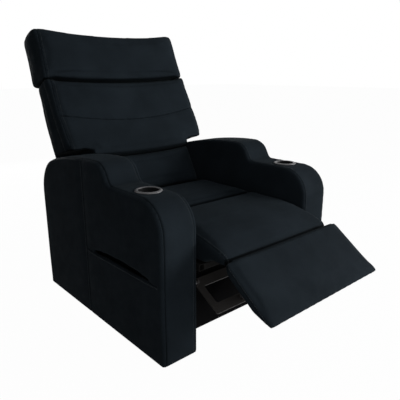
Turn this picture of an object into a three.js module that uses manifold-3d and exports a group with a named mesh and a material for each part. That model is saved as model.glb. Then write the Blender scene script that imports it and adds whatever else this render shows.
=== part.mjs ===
// Cinema recliner seat: two upholstered arms with cup holders carry a steel frame between them,
// with a sprung seat, a reclining back and a powered footrest on a swinging push frame.
// Millimetres. X runs across the seat, the front faces -Y, +Z is up and the floor is z = 0.
// Right and left are the sitter's: the right arm is at -X.
import * as THREE from "three";
import { mergeVertices } from "three/addons/utils/BufferGeometryUtils.js";
import Module from "manifold-3d";

const wasm = await Module();
wasm.setup();

// Whole seat
const overallWidth = 915;
const footprintMiddle = 405; // from the arms' front faces back to the middle of the footprint
const touch = 0.3; // gap between pieces that touch
const overrun = 40; // how far a cutting solid reaches past what it cuts
const crownPower = 4; // how flat a cushion's crown is in the middle

// Arms
const armThickness = 156;
const armDepth = 925;
const armEdgeRadius = 12;
const trayHeight = 600;
const armFrontRadius = 118;
const armStepAt = 325;
const armStepRun = 31;
const armStepRise = 55;
const armStepFillet = 14;
const armEdgeSteps = 7;
const armCrestRise = 80; // from the tray to the highest line of the rear pad
const armCrestAt = 425;
const armRearRadius = 172;
const armRearDrop = 210; // from the crest to where the rear edge turns vertical
const armRearStartDegrees = 78;
const armSlantShare = 0.6; // straight part of the step's slant
const coverWall = 20;
const outerFoam = 46;
const innerFoam = 12;

// Timber frame in each arm
const armBoard = 15;
const armStud = 28;
const armColumns = 5;
const armRows = 4;
const glideHeight = 5;
const glideRadius = 14;
const glideBevel = 1.7;
const glideInset = 62;

// Cup holders
const cupAt = 173;
const cupFlangeRadius = 50;
const cupRadius = 38;
const cupWall = 2.5;
const cupDepth = 82;
const cupRimHeight = 6;
const cupRimEdge = 3;
const cupMouthDrop = 4;

// Side pockets
const pocketRear = 511;
const pocketFront = 30;
const pocketLip = 300;
const pocketFrontRise = 10;
const pocketGape = 30;
const pocketBottom = 130;
const pocketSkin = 12;
const pocketRoom = 20;
const pocketSeam = 16;

// Steel side plates, bolted to the arms' inner faces
const plateThickness = 6;
const plateLow = 155;
const plateHigh = 345;
const plateFoot = 120;
const plateSlope = 70;
const plateWindow = 120;
const plateWindowHeight = 86;
const plateWindowCorner = 22;
const plateWindowAt = [210, 365, 520];
const plateWindowLow = 200;

// Cross tubes, front and rear boards
const tubeSide = 25;
const tubeWall = 2;
const frontTubeAt = 212;
const frontTubeHeight = 290;
const middleTubeAt = 312;
const rearTubeAt = 612;
const boardThickness = 16;
const kickAt = 118;
const kickTop = 318;
const kickNotch = 44; // half width of the opening for the footrest actuator
const kickNotchLow = 175;
const kickGap = 8;
const rearRailSetback = 55; // from the arms' rear faces
const rearRailTop = 360;
const rearRailLow = 40;

// Seat frame and springs
const railTop = 350;
const seatFrameRear = 640;
const springWire = 4;
const springSwing = 24;
const springBends = 22;
const springSides = 5;
const springShares = [-0.5, 0, 0.5]; // of the way from the middle to an arm

// Seat cushions
const seatClearance = 8.5; // from the arm's inner face to the cushion's side
const seatBottom = 354.5;
const seatTop = 464;
const seatCrown = 12;
const seatRear = 624;
const seatSeamAt = 291;
const seatSeamGap = 1.5;
const seatCorner = 22;
const seatPull = 4;
const chaiseFront = -128;
const chaiseCrown = 10;
const noseFallFrom = 120;
const noseLipAt = -110;
const noseDrop = 52;
const noseBottom = 378;
const noseUnderFrom = -46;
const noseUnderTo = -16;

// Footrest hinge, arms, board and cushion. The slopes are below the level at rest.
const footSlopeDegrees = 36.2;
const footHingeY = -62;
const footHingeZ = 360;
const footTopOffset = 101;
const footThickness = 44;
const footNear = -23;
const footFar = -291;
const footPastArms = 16.5; // how far each end reaches past the arm's inner face
const footCorner = 20;
const footPull = 1;
const footCrown = 5;
const footBoard = 12;
const footBoardInset = 20;
const footBoardRearInset = 52;
const footNose = 92; // length of the soft nose ahead of the board
const footToe = 15; // thickness at the toe
const footTuck = 40; // how far the rear face slopes in under its top edge
const linkThickness = 6;
const linkGap = 1.5;
const linkAt = 96; // innermost face of the link pack
const eyeRadius = 13;
const pinRadius = 5;
const pinClearance = 0.35;
const headRadius = 9;
const headThickness = 3;
const bracketFlange = 20;
const bracketFlangeThickness = 4;
const footArmKnee = -72; // where the arm turns up from its hinge bar towards the board
const footArmFlangeStart = -95;
const footArmFlangeEnd = -191;

// Push frame: a flat steel frame that swings with the footrest
const pushSlopeDegrees = 29.9;
const pushHingeY = 58;
const pushHingeZ = 252;
const pushLength = 122.3;
const pushSideRoom = 41.5; // from the arm's inner face
const pushBar = 40;
const pushSideBar = 30;
const pushPlate = 5;
const pushDrop = 14;
const pushCorner = 8;
const pushEar = 12;

// Back, in its own plane: 'up' runs along the back and 'out' squarely out of its front
const backSlopeDegrees = 21;
const backHingeY = 700;
const backHingeZ = 420;
const backRearOut = -142;
const backPanel = 12;
const backPanelInset = 7; // from the wings' sides
const backPanelGap = 3; // under the headrest
const backPanelSteps = 8;
const backRearTrim = 15; // how much of the middle cushion's round rear edge is pressed flat
const uprightOut = -104.5;
const uprightLow = -20;
const uprightHigh = 828;
const crossUps = [0, 150, 500];
const bracketThickness = 6;
const bracketGap = 1;
const bracketReach = 75; // up the upright from its foot
const backEye = 28;
const backPinRadius = 8;
const backHead = 14;
const backFrontLeanDegrees = 8;
const backFrontUp = 280;
const backFrontOut = 37.7;
const lumbarClearance = 27.5; // from the arm's inner face to the lumbar cushion's side
const lumbarBottom = 14;
const creaseMiddle = 205;
const creaseRise = 12;
const seamMiddle = 376;
const seamRise = 46;
const midTopMiddle = 581;
const midTopRise = 20;
const wingBottom = 262;
const wingOverArm = 90.5; // how far a wing's lower corner reaches past the arm's inner face
const wingSkirt = 35; // how far the outer back hangs below the wings, behind the arms
const wingNotch = 24; // from the arm's inner face inwards, where a wing starts
const frameSlack = 5; // from the arm's inner face inwards, to the room for the steel frame
const backCorner = 22;
const backCrown = 12;
const backSinkShare = 0.5; // of the crown that the cushion's edges draw in by
const channelDepth = 8;
const cushionGap = 5;
const headLow = 608;
const headHigh = 847;
const headOut = -14;
const headThick = 175;
const headPastWings = 6;
const headFlare = 5; // how much wider the headrest is at its foot than half way up
const wingBulge = 8; // how far the middle cushion's sides swell between their corners
const headDip = 24;
const headCorner = 28;
const headCrown = 6;
const headPull = 3;

// Actuators
const actuatorRadius = 17;
const rodRadius = 9;
const rodClearance = 0.5;
const rodInside = 230;
const forkReach = 34;
const forkTine = 5;
const forkGap = 1.5;
const forkHeight = 24;
const leverThickness = 6;
const leverEdge = 8;
const slotSlack = 2.8;
const footLever = 50;
const footLeverLeadDegrees = 15;
const footLeverSwingDegrees = 40;
const footTubeFront = 190;
const footTubeRear = 470;
const footBoreEnd = 392;
const backLever = 130;
const backLeverLeadDegrees = 6;
const backLeverSwingDegrees = 17;
const backTubeFront = 320;
const backTubeRear = 600;
const backBoreEnd = 380;
const backActuatorShare = 0.365; // of the way from the middle to the right arm
const gearboxLength = 70;
const gearboxWidth = 92;
const gearboxHeight = 62;
const motorRadius = 23;
const motorLength = 112;
const earWidth = 26;

// Control box, power inlet and the two-button switch
const boxAcross = 120;
const boxDeep = 34;
const boxTall = 64;
const boxShare = 0.5;
const boxZ = 170;
const boxEdge = 4;
const inletShare = 0.7;
const inletZ = 110;
const inletRadius = 14;
const inletFlange = 3;
const inletBore = 4;
const inletBoreDepth = 9;
const inletBody = 12;
const inletBodyRadius = 8;
const switchAt = 236;
const switchDrop = 64; // below the tray
const switchAcross = 34;
const switchTall = 62;
const switchPlate = 2.5;
const switchDeep = 10;
const switchWall = 2;
const switchLip = 4;
const buttonSide = 18;
const buttonPitch = 24;
const buttonGap = 0.5;
const buttonProud = 2.5;
const buttonTravel = 1.5;

// Finishes
const leather = { color: 0x1c2125, roughness: 0.62, metalness: 0 };
const grayRim = { color: 0x4a474a, roughness: 0.45, metalness: 0.2 };
const darkSteel = { color: 0x2a2826, roughness: 0.5, metalness: 0.7 };
const brightSteel = { color: 0x9b9da0, roughness: 0.35, metalness: 0.9 };
const timber = { color: 0xb08a5c, roughness: 0.8, metalness: 0 };
const blackBoard = { color: 0x101011, roughness: 0.85, metalness: 0 };
const blackPlastic = { color: 0x161617, roughness: 0.5, metalness: 0 };

// Derived places that several pieces share
const sides = [["right", -1], ["left", 1]];
const armInner = overallWidth / 2 - armThickness;
const armCrest = trayHeight + armCrestRise;
const armRearShoulder = armCrest - armRearDrop;
const switchHeight = trayHeight - switchDrop;
const rearRailAt = armDepth - rearRailSetback;
const footWidth = 2 * (armInner + footPastArms);
const pushWidth = 2 * (armInner - pushSideRoom);
const wingHalf = armInner + wingOverArm;
const creaseHalf = armInner;
const headHalf = wingHalf + headPastWings;
const backActuatorX = -backActuatorShare * armInner;
const boxX = -boxShare * armInner;
const inletX = -inletShare * armInner;
const plateOuter = armInner - touch;
const plateInner = plateOuter - plateThickness;
const bracketOuter = plateInner - bracketGap;
const bracketInner = bracketOuter - bracketThickness;
const uprightInner = bracketInner - tubeSide;
const tubeHalf = plateInner - touch;
const footHinge = new THREE.Vector2(footHingeY, footHingeZ);
const pushHinge = new THREE.Vector2(pushHingeY, pushHingeZ);
const backHinge = new THREE.Vector2(backHingeY, backHingeZ);
const pushReach = downSlope(pushSlopeDegrees).multiplyScalar(pushLength);
const stayLow = pushHinge.clone().add(pushReach);
const stayHigh = footHinge.clone().add(pushReach);
const lugIn = linkAt;
const lugOut = lugIn + linkThickness;
const footArmIn = lugOut + linkGap;
const footArmOut = footArmIn + linkThickness;
const stayIn = footArmOut + linkGap;
const stayOut = stayIn + linkThickness;
const earIn = stayOut + linkGap;
const earOut = earIn + linkThickness;
const pinHole = pinRadius + pinClearance;
const footDrive = {
  hinge: pushHinge,
  reach: footLever,
  lead: footLeverLeadDegrees,
  swing: footLeverSwingDegrees,
  x: 0,
};
const backDrive = {
  hinge: backHinge,
  reach: backLever,
  lead: -backLeverLeadDegrees,
  swing: backLeverSwingDegrees,
  x: backActuatorX,
};
const footFrame = tilted(footSlopeDegrees, footHinge);
const pushFrame = tilted(pushSlopeDegrees, pushHinge);
const backFrame = backPlane();
const barrel = 14; // sides of a round pin or tube
const cupSides = 28;
const cornerSteps = 3;

const seat = new THREE.Group();
seat.name = "cinema_recliner";
seat.position.y = -footprintMiddle;

// Returns the direction, in side view, that points forwards and down by an angle.
function downSlope(degrees) {
  const angle = THREE.MathUtils.degToRad(degrees);
  return new THREE.Vector2(-Math.cos(angle), -Math.sin(angle));
}

// Returns the frame of a flat piece that slopes down towards the front from a hinge.
function tilted(degrees, hinge) {
  const turn = new THREE.Matrix4().makeRotationX(THREE.MathUtils.degToRad(degrees));
  return turn.setPosition(0, hinge.x, hinge.y);
}

// Returns the back's frame: local x is across, y is up the back and z is out of its front.
function backPlane() {
  const lean = THREE.MathUtils.degToRad(backSlopeDegrees);
  const up = new THREE.Vector3(0, Math.sin(lean), Math.cos(lean));
  const out = new THREE.Vector3(0, -Math.cos(lean), Math.sin(lean));
  const frame = new THREE.Matrix4().makeBasis(new THREE.Vector3(1, 0, 0), up, out);
  return frame.setPosition(0, backHinge.x, backHinge.y);
}

// Turns a closed geometry into a solid that can be joined and cut.
function solid(geometry, frame) {
  const loose = geometry.index ? geometry.toNonIndexed() : geometry;
  const bare = new THREE.BufferGeometry().setAttribute("position", loose.getAttribute("position"));
  if (frame) bare.applyMatrix4(frame);
  const merged = mergeVertices(bare);
  return new wasm.Manifold(new wasm.Mesh({
    numProp: 3,
    vertProperties: merged.getAttribute("position").array,
    triVerts: new Uint32Array(merged.index.array),
  }));
}

// Adds one named piece, with its finish, to the seat.
function piece(name, body, finish) {
  const mesh = body.getMesh();
  const geometry = new THREE.BufferGeometry();
  geometry.setAttribute("position", new THREE.BufferAttribute(mesh.vertProperties, mesh.numProp));
  geometry.setIndex(new THREE.BufferAttribute(mesh.triVerts, 1));
  const part = new THREE.Mesh(geometry, new THREE.MeshStandardMaterial(finish));
  part.name = name;
  seat.add(part);
}

function joined(...bodies) {
  return bodies.reduce((sum, body) => sum.add(body));
}

// Returns a box between two values on each axis.
function block(x, y, z, frame) {
  const box = new THREE.BoxGeometry(x[1] - x[0], y[1] - y[0], z[1] - z[0]);
  box.translate((x[0] + x[1]) / 2, (y[0] + y[1]) / 2, (z[0] + z[1]) / 2);
  return solid(box, frame);
}

// Returns the values from near to far along X on one side of the seat.
function across(sign, near, far) {
  return sign > 0 ? [near, far] : [-far, -near];
}

// Extrudes an outline drawn in side view, shape x to y and shape y to z, between two X values.
function sideSlab(shape, x, edge = 0, fineness = 5) {
  const slab = new THREE.ExtrudeGeometry(shape, {
    depth: x[1] - x[0] - 2 * edge,
    bevelEnabled: edge > 0,
    bevelThickness: edge,
    bevelSize: edge,
    bevelOffset: -edge,
    bevelSegments: 3,
    curveSegments: fineness,
  });
  const toSide = new THREE.Matrix4().makeBasis(
    new THREE.Vector3(0, 1, 0),
    new THREE.Vector3(0, 0, 1),
    new THREE.Vector3(1, 0, 0),
  );
  toSide.setPosition(x[0] + edge, 0, 0);
  return solid(slab, toSide);
}

// Extrudes an outline drawn in a frame's own x and y between two heights.
function flatSlab(shape, z, frame, edge = 0) {
  const slab = new THREE.ExtrudeGeometry(shape, {
    depth: z[1] - z[0] - 2 * edge,
    bevelEnabled: edge > 0,
    bevelThickness: edge,
    bevelSize: edge,
    bevelOffset: -edge,
    bevelSegments: 2,
    curveSegments: cornerSteps,
  });
  slab.translate(0, 0, z[0] + edge);
  return solid(slab, frame);
}

// A bar with round ends between two points of the side view.
function barShape(from, to, radius) {
  const angle = Math.atan2(to.y - from.y, to.x - from.x);
  const shape = new THREE.Shape();
  shape.absarc(to.x, to.y, radius, angle - Math.PI / 2, angle + Math.PI / 2, false);
  shape.absarc(from.x, from.y, radius, angle + Math.PI / 2, angle + 1.5 * Math.PI, false);
  shape.closePath();
  return shape;
}

function bar(from, to, radius, x) {
  return sideSlab(barShape(from, to, radius), x);
}

// A round solid along X at a point of the side view.
function roundX(centre, radius, x, count = barrel) {
  const round = new THREE.CylinderGeometry(radius, radius, x[1] - x[0], count);
  round.rotateZ(Math.PI / 2);
  round.translate((x[0] + x[1]) / 2, centre.x, centre.y);
  return solid(round);
}

// A round solid along Y.
function roundY(x, z, radius, y, count = barrel) {
  const round = new THREE.CylinderGeometry(radius, radius, y[1] - y[0], count);
  round.translate(x, (y[0] + y[1]) / 2, z);
  return solid(round);
}

// A rectangle with round corners, drawn about a middle point.
function roundedRect(x, y, corner, Kind = THREE.Shape) {
  const shape = new Kind();
  shape.absarc(x[1] - corner, y[0] + corner, corner, -Math.PI / 2, 0, false);
  shape.absarc(x[1] - corner, y[1] - corner, corner, 0, Math.PI / 2, false);
  shape.absarc(x[0] + corner, y[1] - corner, corner, Math.PI / 2, Math.PI, false);
  shape.absarc(x[0] + corner, y[0] + corner, corner, Math.PI, 1.5 * Math.PI, false);
  shape.closePath();
  return shape;
}

// A square steel tube with open ends, along one axis of a frame.
function squareTube(axis, length, low, frame) {
  const outer = roundedRect([0, tubeSide], [0, tubeSide], tubeWall);
  const inside = [tubeWall, tubeSide - tubeWall];
  outer.holes.push(roundedRect(inside, inside, tubeWall / 2, THREE.Path));
  const tube = new THREE.ExtrudeGeometry(outer, { depth: length, bevelEnabled: false, curveSegments: 1 });
  if (axis === "x") {
    tube.rotateY(Math.PI / 2);
    tube.translate(0, 0, tubeSide);
  }
  if (axis === "y") {
    tube.rotateX(-Math.PI / 2);
    tube.translate(0, 0, tubeSide);
  }
  tube.translate(...low);
  return solid(tube, frame);
}

// A cushion: a block whose points gather towards its edges, with round edges and one or more
// crowned rolls along its length. form gives each point its final place in the frame.
function cushion({ half, corner, counts, rolls = 1, form, frame }) {
  const grid = new THREE.BoxGeometry(2, 2, 2, ...counts);
  const place = grid.getAttribute("position");
  const point = new THREE.Vector3();
  const core = new THREE.Vector3();
  const room = half.clone().subScalar(corner);
  const least = room.clone().negate();
  for (let i = 0; i < place.count; i++) {
    point.fromBufferAttribute(place, i);
    const along = ((point.y + 1) / 2) * rolls;
    const roll = Math.min(Math.floor(along), rolls - 1);
    const within = along - roll;
    const puff = Math.sin(Math.PI * within);
    const spread = (roll + (1 - Math.cos(Math.PI * within)) / 2) / rolls;
    point.x = Math.sin((point.x * Math.PI) / 2) * half.x;
    point.y = (2 * spread - 1) * half.y;
    point.z = Math.sin((point.z * Math.PI) / 2) * half.z;
    core.copy(point).clamp(least, room);
    point.sub(core).setLength(corner).add(core);
    const shares = point.clone().divide(half);
    form(point, shares, puff);
    place.setXYZ(i, point.x, point.y, point.z);
  }
  return solid(grid, frame);
}

// Crown that is full in the middle and fades to the four edges.
function crownAt(shares) {
  return (1 - shares.x ** crownPower) * (1 - shares.y ** crownPower);
}

// Outline of an arm in side view, drawn in by an inset for its hollow and its timber frame.
function armOutline(inset) {
  const tray = trayHeight - inset;
  const crest = armCrest - inset;
  const step = new THREE.Vector2(armStepAt + inset, tray);
  const climb = new THREE.Vector2(armStepRun, armStepRise);
  const lean = climb.clone().normalize();
  const fillet = lean.clone().multiplyScalar(armStepFillet).add(step);
  const crestFoot = step.clone().add(climb.clone().multiplyScalar((crest - tray) / armStepRise));
  const slantEnd = step.clone().lerp(crestFoot, armSlantShare);
  const rearStart = THREE.MathUtils.degToRad(armRearStartDegrees);
  const rearRadius = armRearRadius - inset;
  const rearAt = armDepth - armRearRadius;
  const rearTop = armRearShoulder + rearRadius * Math.sin(rearStart);
  const rearTopAt = rearAt + rearRadius * Math.cos(rearStart);
  const slopeRun = (crest - rearTop) * Math.tan(rearStart);
  const shape = new THREE.Shape();
  shape.moveTo(inset, -overrun);
  shape.lineTo(inset, trayHeight - armFrontRadius);
  shape.absarc(armFrontRadius, trayHeight - armFrontRadius, armFrontRadius - inset,
    Math.PI, Math.PI / 2, true);
  shape.lineTo(step.x - armStepFillet, tray);
  shape.quadraticCurveTo(step.x, step.y, fillet.x, fillet.y);
  shape.lineTo(slantEnd.x, slantEnd.y);
  shape.quadraticCurveTo(crestFoot.x, crestFoot.y, armCrestAt, crest);
  shape.quadraticCurveTo(rearTopAt - slopeRun, crest, rearTopAt, rearTop);
  shape.absarc(rearAt, armRearShoulder, rearRadius, rearStart, 0, true);
  shape.lineTo(armDepth - inset, -overrun);
  shape.closePath();
  return shape;
}

// Mouth of a side pocket: a straight lower lip and an upper edge that gapes.
function pocketMouth() {
  const shape = new THREE.Shape();
  shape.moveTo(pocketFront, pocketLip + pocketFrontRise);
  shape.lineTo(pocketRear, pocketLip);
  shape.quadraticCurveTo((pocketFront + pocketRear) / 2, pocketLip + 2 * pocketGape, pocketFront,
    pocketLip + pocketFrontRise);
  return shape;
}

function cupBore(centreX, radius, top) {
  const bottom = trayHeight - cupDepth - touch;
  const round = new THREE.CylinderGeometry(radius, radius, top - bottom, cupSides);
  round.rotateX(Math.PI / 2);
  round.translate(centreX, cupAt, (top + bottom) / 2);
  return solid(round);
}

function armUpholstery(sign) {
  const outer = overallWidth / 2;
  const floor = block([-outer, outer], [-overrun, armDepth + overrun], [-2 * overrun, glideHeight]);
  const hollow = sideSlab(armOutline(coverWall), across(sign, armInner + innerFoam, outer - outerFoam));
  const pocketIn = outer - pocketSkin - pocketRoom;
  const mouth = sideSlab(pocketMouth(), across(sign, pocketIn, outer + overrun));
  const pocket = block(
    across(sign, pocketIn, outer - pocketSkin),
    [pocketFront + pocketSeam, pocketRear - pocketSeam],
    [pocketBottom, pocketLip + pocketFrontRise],
  );
  const middle = sign * (outer - armThickness / 2);
  let body = sideSlab(armOutline(0), across(sign, armInner, outer), armEdgeRadius, armEdgeSteps);
  body = body.subtract(floor).subtract(hollow).subtract(mouth).subtract(pocket);
  body = body.subtract(cupBore(middle, cupRadius + touch, armCrest));
  return sign < 0 ? body.subtract(switchHole()) : body;
}

// Timber frame: a plywood board on the inner side with studs and battens, and a hole for the cup.
function armTimber(sign) {
  const outer = overallWidth / 2;
  const inset = coverWall + touch;
  const near = armInner + innerFoam + touch;
  const far = outer - outerFoam - touch;
  const floor = block([-outer, outer], [-overrun, armDepth + overrun], [-2 * overrun, glideHeight]);
  const rim = sideSlab(armOutline(inset + armStud), across(sign, near + armBoard, far + overrun));
  const pitchY = (armDepth - 2 * inset - armStud) / armColumns;
  const pitchZ = (armCrest - inset - armStud - glideHeight) / armRows;
  let cells;
  for (let column = 0; column < armColumns; column++) {
    for (let row = 0; row < armRows; row++) {
      const y = inset + armStud + column * pitchY;
      const z = glideHeight + armStud + row * pitchZ;
      const cell = block(across(sign, near + armBoard, far + overrun),
        [y, y + pitchY - armStud], [z, z + pitchZ - armStud]);
      cells = cells ? cells.add(cell) : cell;
    }
  }
  const middle = sign * (outer - armThickness / 2);
  return sideSlab(armOutline(inset), across(sign, near, far))
    .subtract(floor)
    .subtract(cells.intersect(rim))
    .subtract(cupBore(middle, cupRadius + cupRimHeight, armCrest));
}

function cupHolder(sign) {
  const wall = cupRadius - cupWall;
  const top = cupRimHeight;
  const profile = [
    [0, -cupDepth],
    [cupRadius - cupWall, -cupDepth],
    [cupRadius, cupWall - cupDepth],
    [cupRadius, touch],
    [cupFlangeRadius - cupRimEdge, touch],
    [cupFlangeRadius, cupRimEdge / 2],
    [cupFlangeRadius, cupRimEdge],
    [cupFlangeRadius - cupRimEdge, top],
    [cupRadius + cupRimEdge, top],
    [wall, top - cupMouthDrop],
    [wall, 2 * cupWall - cupDepth],
    [wall - cupWall, cupWall - cupDepth],
    [0, cupWall - cupDepth],
  ].map(([r, z]) => new THREE.Vector2(r, z));
  const cup = new THREE.LatheGeometry(profile, cupSides);
  cup.rotateX(Math.PI / 2);
  cup.translate(sign * (overallWidth / 2 - armThickness / 2), cupAt, trayHeight);
  return solid(cup);
}

function glide(sign, y) {
  const x = overallWidth / 2 - (outerFoam + armThickness - innerFoam) / 2;
  const profile = [
    [0, 0],
    [glideRadius - glideBevel, 0],
    [glideRadius, glideBevel],
    [glideRadius, glideHeight - touch],
    [0, glideHeight - touch],
  ].map(([r, z]) => new THREE.Vector2(r, z));
  const foot = new THREE.LatheGeometry(profile, barrel);
  foot.rotateX(Math.PI / 2);
  foot.translate(sign * x, y, 0);
  return solid(foot);
}

// Steel side plate: carries the push frame's pin at the front and the back's pin at the rear.
function sidePlate(sign) {
  const shape = new THREE.Shape();
  const front = pushHinge.x - 2 * pushEar;
  const rear = backHinge.x + backEye;
  shape.moveTo(front + plateSlope, plateLow);
  shape.lineTo(rear - plateSlope / 2, plateLow);
  shape.lineTo(rear, plateLow + plateSlope);
  shape.absarc(backHinge.x, backHinge.y, backEye, 0, Math.PI, false);
  shape.quadraticCurveTo(backHinge.x - backEye, plateHigh, backHinge.x - plateFoot, plateHigh);
  shape.lineTo(front + plateSlope, plateHigh);
  shape.absarc(pushHinge.x, pushHinge.y, 2 * pushEar, Math.PI / 2, Math.PI, false);
  shape.closePath();
  for (const at of plateWindowAt) {
    shape.holes.push(roundedRect([at - plateWindow / 2, at + plateWindow / 2],
      [plateWindowLow, plateWindowLow + plateWindowHeight], plateWindowCorner, THREE.Path));
  }
  const reach = across(sign, plateInner - overrun, plateOuter + overrun);
  return sideSlab(shape, across(sign, plateInner, plateOuter), 0, 4)
    .subtract(roundX(pushHinge, pinHole, reach))
    .subtract(roundX(backHinge, backPinRadius + pinClearance, reach));
}

// A pin with a head on its inner end and a shoulder that spaces the moving piece from its carrier.
function shoulderPin(hinge, sign, radius, head, inner, outer, seats) {
  const shank = roundX(hinge, radius, across(sign, inner, outer));
  const cap = roundX(hinge, head, across(sign, inner - headThickness, inner));
  const sleeve = seats ? roundX(hinge, head, across(sign, seats[0], seats[1])) : cap;
  return joined(shank, cap, sleeve);
}

function footHingeBracket(sign) {
  const x = across(sign, lugIn, lugOut);
  const railFront = -touch;
  const flangeBack = railFront - bracketFlangeThickness;
  const middle = railTop - tubeSide / 2;
  const arm = bar(footHinge, new THREE.Vector2(flangeBack - eyeRadius, middle), eyeRadius, x);
  const web = block(x, [flangeBack - eyeRadius, railFront], [railTop - tubeSide, railTop]);
  const flange = block(across(sign, lugIn - bracketFlange, lugOut), [flangeBack, railFront],
    [railTop - tubeSide, railTop]);
  const pin = roundX(footHinge, pinHole, across(sign, lugIn - overrun, lugOut + overrun));
  return joined(arm, web, flange).subtract(pin);
}

// Footrest arm: a flat bar from the seat's hinge to the stay, with a flange under the board.
function footArm(sign) {
  const x = across(sign, footArmIn, footArmOut);
  const top = footTopOffset - footThickness - touch;
  const stay = footLocal(stayHigh);
  const shape = new THREE.Shape();
  shape.moveTo(footArmFlangeStart, top);
  shape.lineTo(footArmFlangeEnd, top);
  shape.lineTo(footArmFlangeEnd, top - eyeRadius);
  shape.lineTo(stay.x - eyeRadius, stay.y - eyeRadius);
  shape.lineTo(0, -eyeRadius);
  shape.absarc(0, 0, eyeRadius, -Math.PI / 2, Math.PI / 2, false);
  shape.lineTo(footArmKnee, eyeRadius);
  shape.closePath();
  const flange = block(across(sign, footArmOut - bracketFlange - linkThickness, footArmOut),
    [footArmFlangeEnd, footArmFlangeStart], [top - bracketFlangeThickness, top], footFrame);
  const reach = across(sign, footArmIn - overrun, footArmOut + overrun);
  return sideSlab(shape, x).transform(manifoldFrame(footFrame)).add(flange)
    .subtract(roundX(footHinge, pinHole, reach))
    .subtract(roundX(stayHigh, pinHole, reach));
}

// Gives a point of the side view in the footrest's own frame.
function footLocal(point) {
  const local = new THREE.Vector3(0, point.x, point.y).applyMatrix4(footFrame.clone().invert());
  return new THREE.Vector2(local.y, local.z);
}

function manifoldFrame(frame) {
  return frame.elements;
}

// Outline of the footrest's board, grown by a margin for the recess that takes it.
function footBoardBounds(margin) {
  const half = footWidth / 2 - footBoardInset + margin;
  return [[-half, half], [footFar + footNose - margin, footNear - footBoardRearInset + margin]];
}

function footBoardPlate() {
  const low = footTopOffset - footThickness;
  return flatSlab(roundedRect(...footBoardBounds(0), footCorner), [low, low + footBoard], footFrame);
}

// Footrest cushion: flat on its board, with a nose ahead of the board that thins to the toe.
function footCushion() {
  const half = new THREE.Vector3(footWidth / 2, (footNear - footFar) / 2, footThickness / 2);
  const middle = new THREE.Vector3(0, (footNear + footFar) / 2, footTopOffset - footThickness / 2);
  const board = footTopOffset - footThickness + footBoard + touch;
  const recess = block(...footBoardBounds(touch), [-overrun, board], footFrame);
  return cushion({
    half,
    corner: footCorner,
    counts: [14, 10, 4],
    frame: footFrame,
    form(point, shares) {
      const toe = Math.max(0, (half.y * -shares.y - half.y + footNose) / footNose);
      const low = (1 - shares.z) / 2;
      point.x -= Math.sign(shares.x) * footPull * (1 - shares.y ** 2) * Math.abs(shares.x);
      point.y -= (footTuck * (1 - shares.z) * (1 + shares.y)) / 4;
      point.z += (1 - low) * footCrown * (crownAt(shares) - 1);
      point.z += low * toe * (footThickness - footToe);
      point.add(middle);
    },
  }).subtract(recess);
}

// Stay link between the push frame and the footrest arm, with a riveted stud at each end.
function stay(sign) {
  const link = bar(stayLow, stayHigh, eyeRadius - linkGap, across(sign, stayIn, stayOut));
  const low = roundX(stayLow, pinRadius, across(sign, stayIn, earOut + linkGap));
  const high = roundX(stayHigh, pinRadius, across(sign, footArmIn - linkGap, stayOut));
  return joined(link, low, high);
}

// Flat rectangular frame with ears for its pins and stays, and the lever that the actuator pushes.
function pushFramePlate() {
  const half = pushWidth / 2;
  const far = -pushLength - pushBar / 2;
  const near = pushBar / 2;
  const shape = roundedRect([-half, half], [far, near], pushCorner);
  shape.holes.push(roundedRect([pushSideBar - half, half - pushSideBar], [far + pushBar, near - pushBar],
    pushCorner, THREE.Path));
  const plate = [-pushDrop - pushPlate / 2, pushPlate / 2 - pushDrop];
  let body = flatSlab(shape, plate, pushFrame);
  for (const [, sign] of sides) {
    const outerEar = across(sign, half - pushPlate, half);
    const stayEar = across(sign, earIn, earOut);
    const reach = across(sign, earIn - overrun, half + overrun);
    body = joined(body,
      bar(pushHinge, pushHinge, pushEar, outerEar),
      block(outerEar, [-pushEar, pushEar], [plate[0], 0], pushFrame),
      bar(stayLow, stayLow, pushEar, stayEar),
      block(stayEar, [-pushLength - pushEar, pushEar - pushLength], [plate[0], 0], pushFrame));
    body = body.subtract(roundX(pushHinge, pinHole, reach));
    body = body.subtract(roundX(stayLow, pinHole, across(sign, earIn - overrun, earOut + overrun)));
  }
  const root = pushHinge.clone().lerp(leverPin(footDrive), pushDrop / footLever);
  return body.add(slottedLever(footDrive, root))
    .subtract(leverSlot(footDrive, pinRadius + slotSlack, overrun));
}

// A flat lever's slot for an actuator's pin, pointing at the hinge. lead is the angle, forwards of
// straight down, at which the lever stands at rest, and swing the most it turns from straight down.
function leverSlot({ hinge, reach, lead, swing, x }, radius, margin) {
  const angle = THREE.MathUtils.degToRad(lead);
  const down = new THREE.Vector2(-Math.sin(angle), -Math.cos(angle));
  const far = reach / Math.cos(THREE.MathUtils.degToRad(swing));
  const at = (distance) => hinge.clone().add(down.clone().multiplyScalar(distance));
  const half = leverThickness / 2 + margin;
  return bar(at(reach - slotSlack), at(far + slotSlack), radius, [x - half, x + half]);
}

function slottedLever(lever, root) {
  const slot = pinRadius + slotSlack;
  const half = leverThickness / 2;
  const arm = bar(root, leverPin(lever), slot + leverEdge, [lever.x - half, lever.x + half]);
  return arm.add(leverSlot(lever, slot + leverEdge, 0));
}

// Where an actuator's pin stands at rest, on its level line below a hinge.
function leverPin({ hinge, reach, lead }) {
  return new THREE.Vector2(hinge.x - reach * Math.tan(THREE.MathUtils.degToRad(lead)), hinge.y - reach);
}

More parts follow.
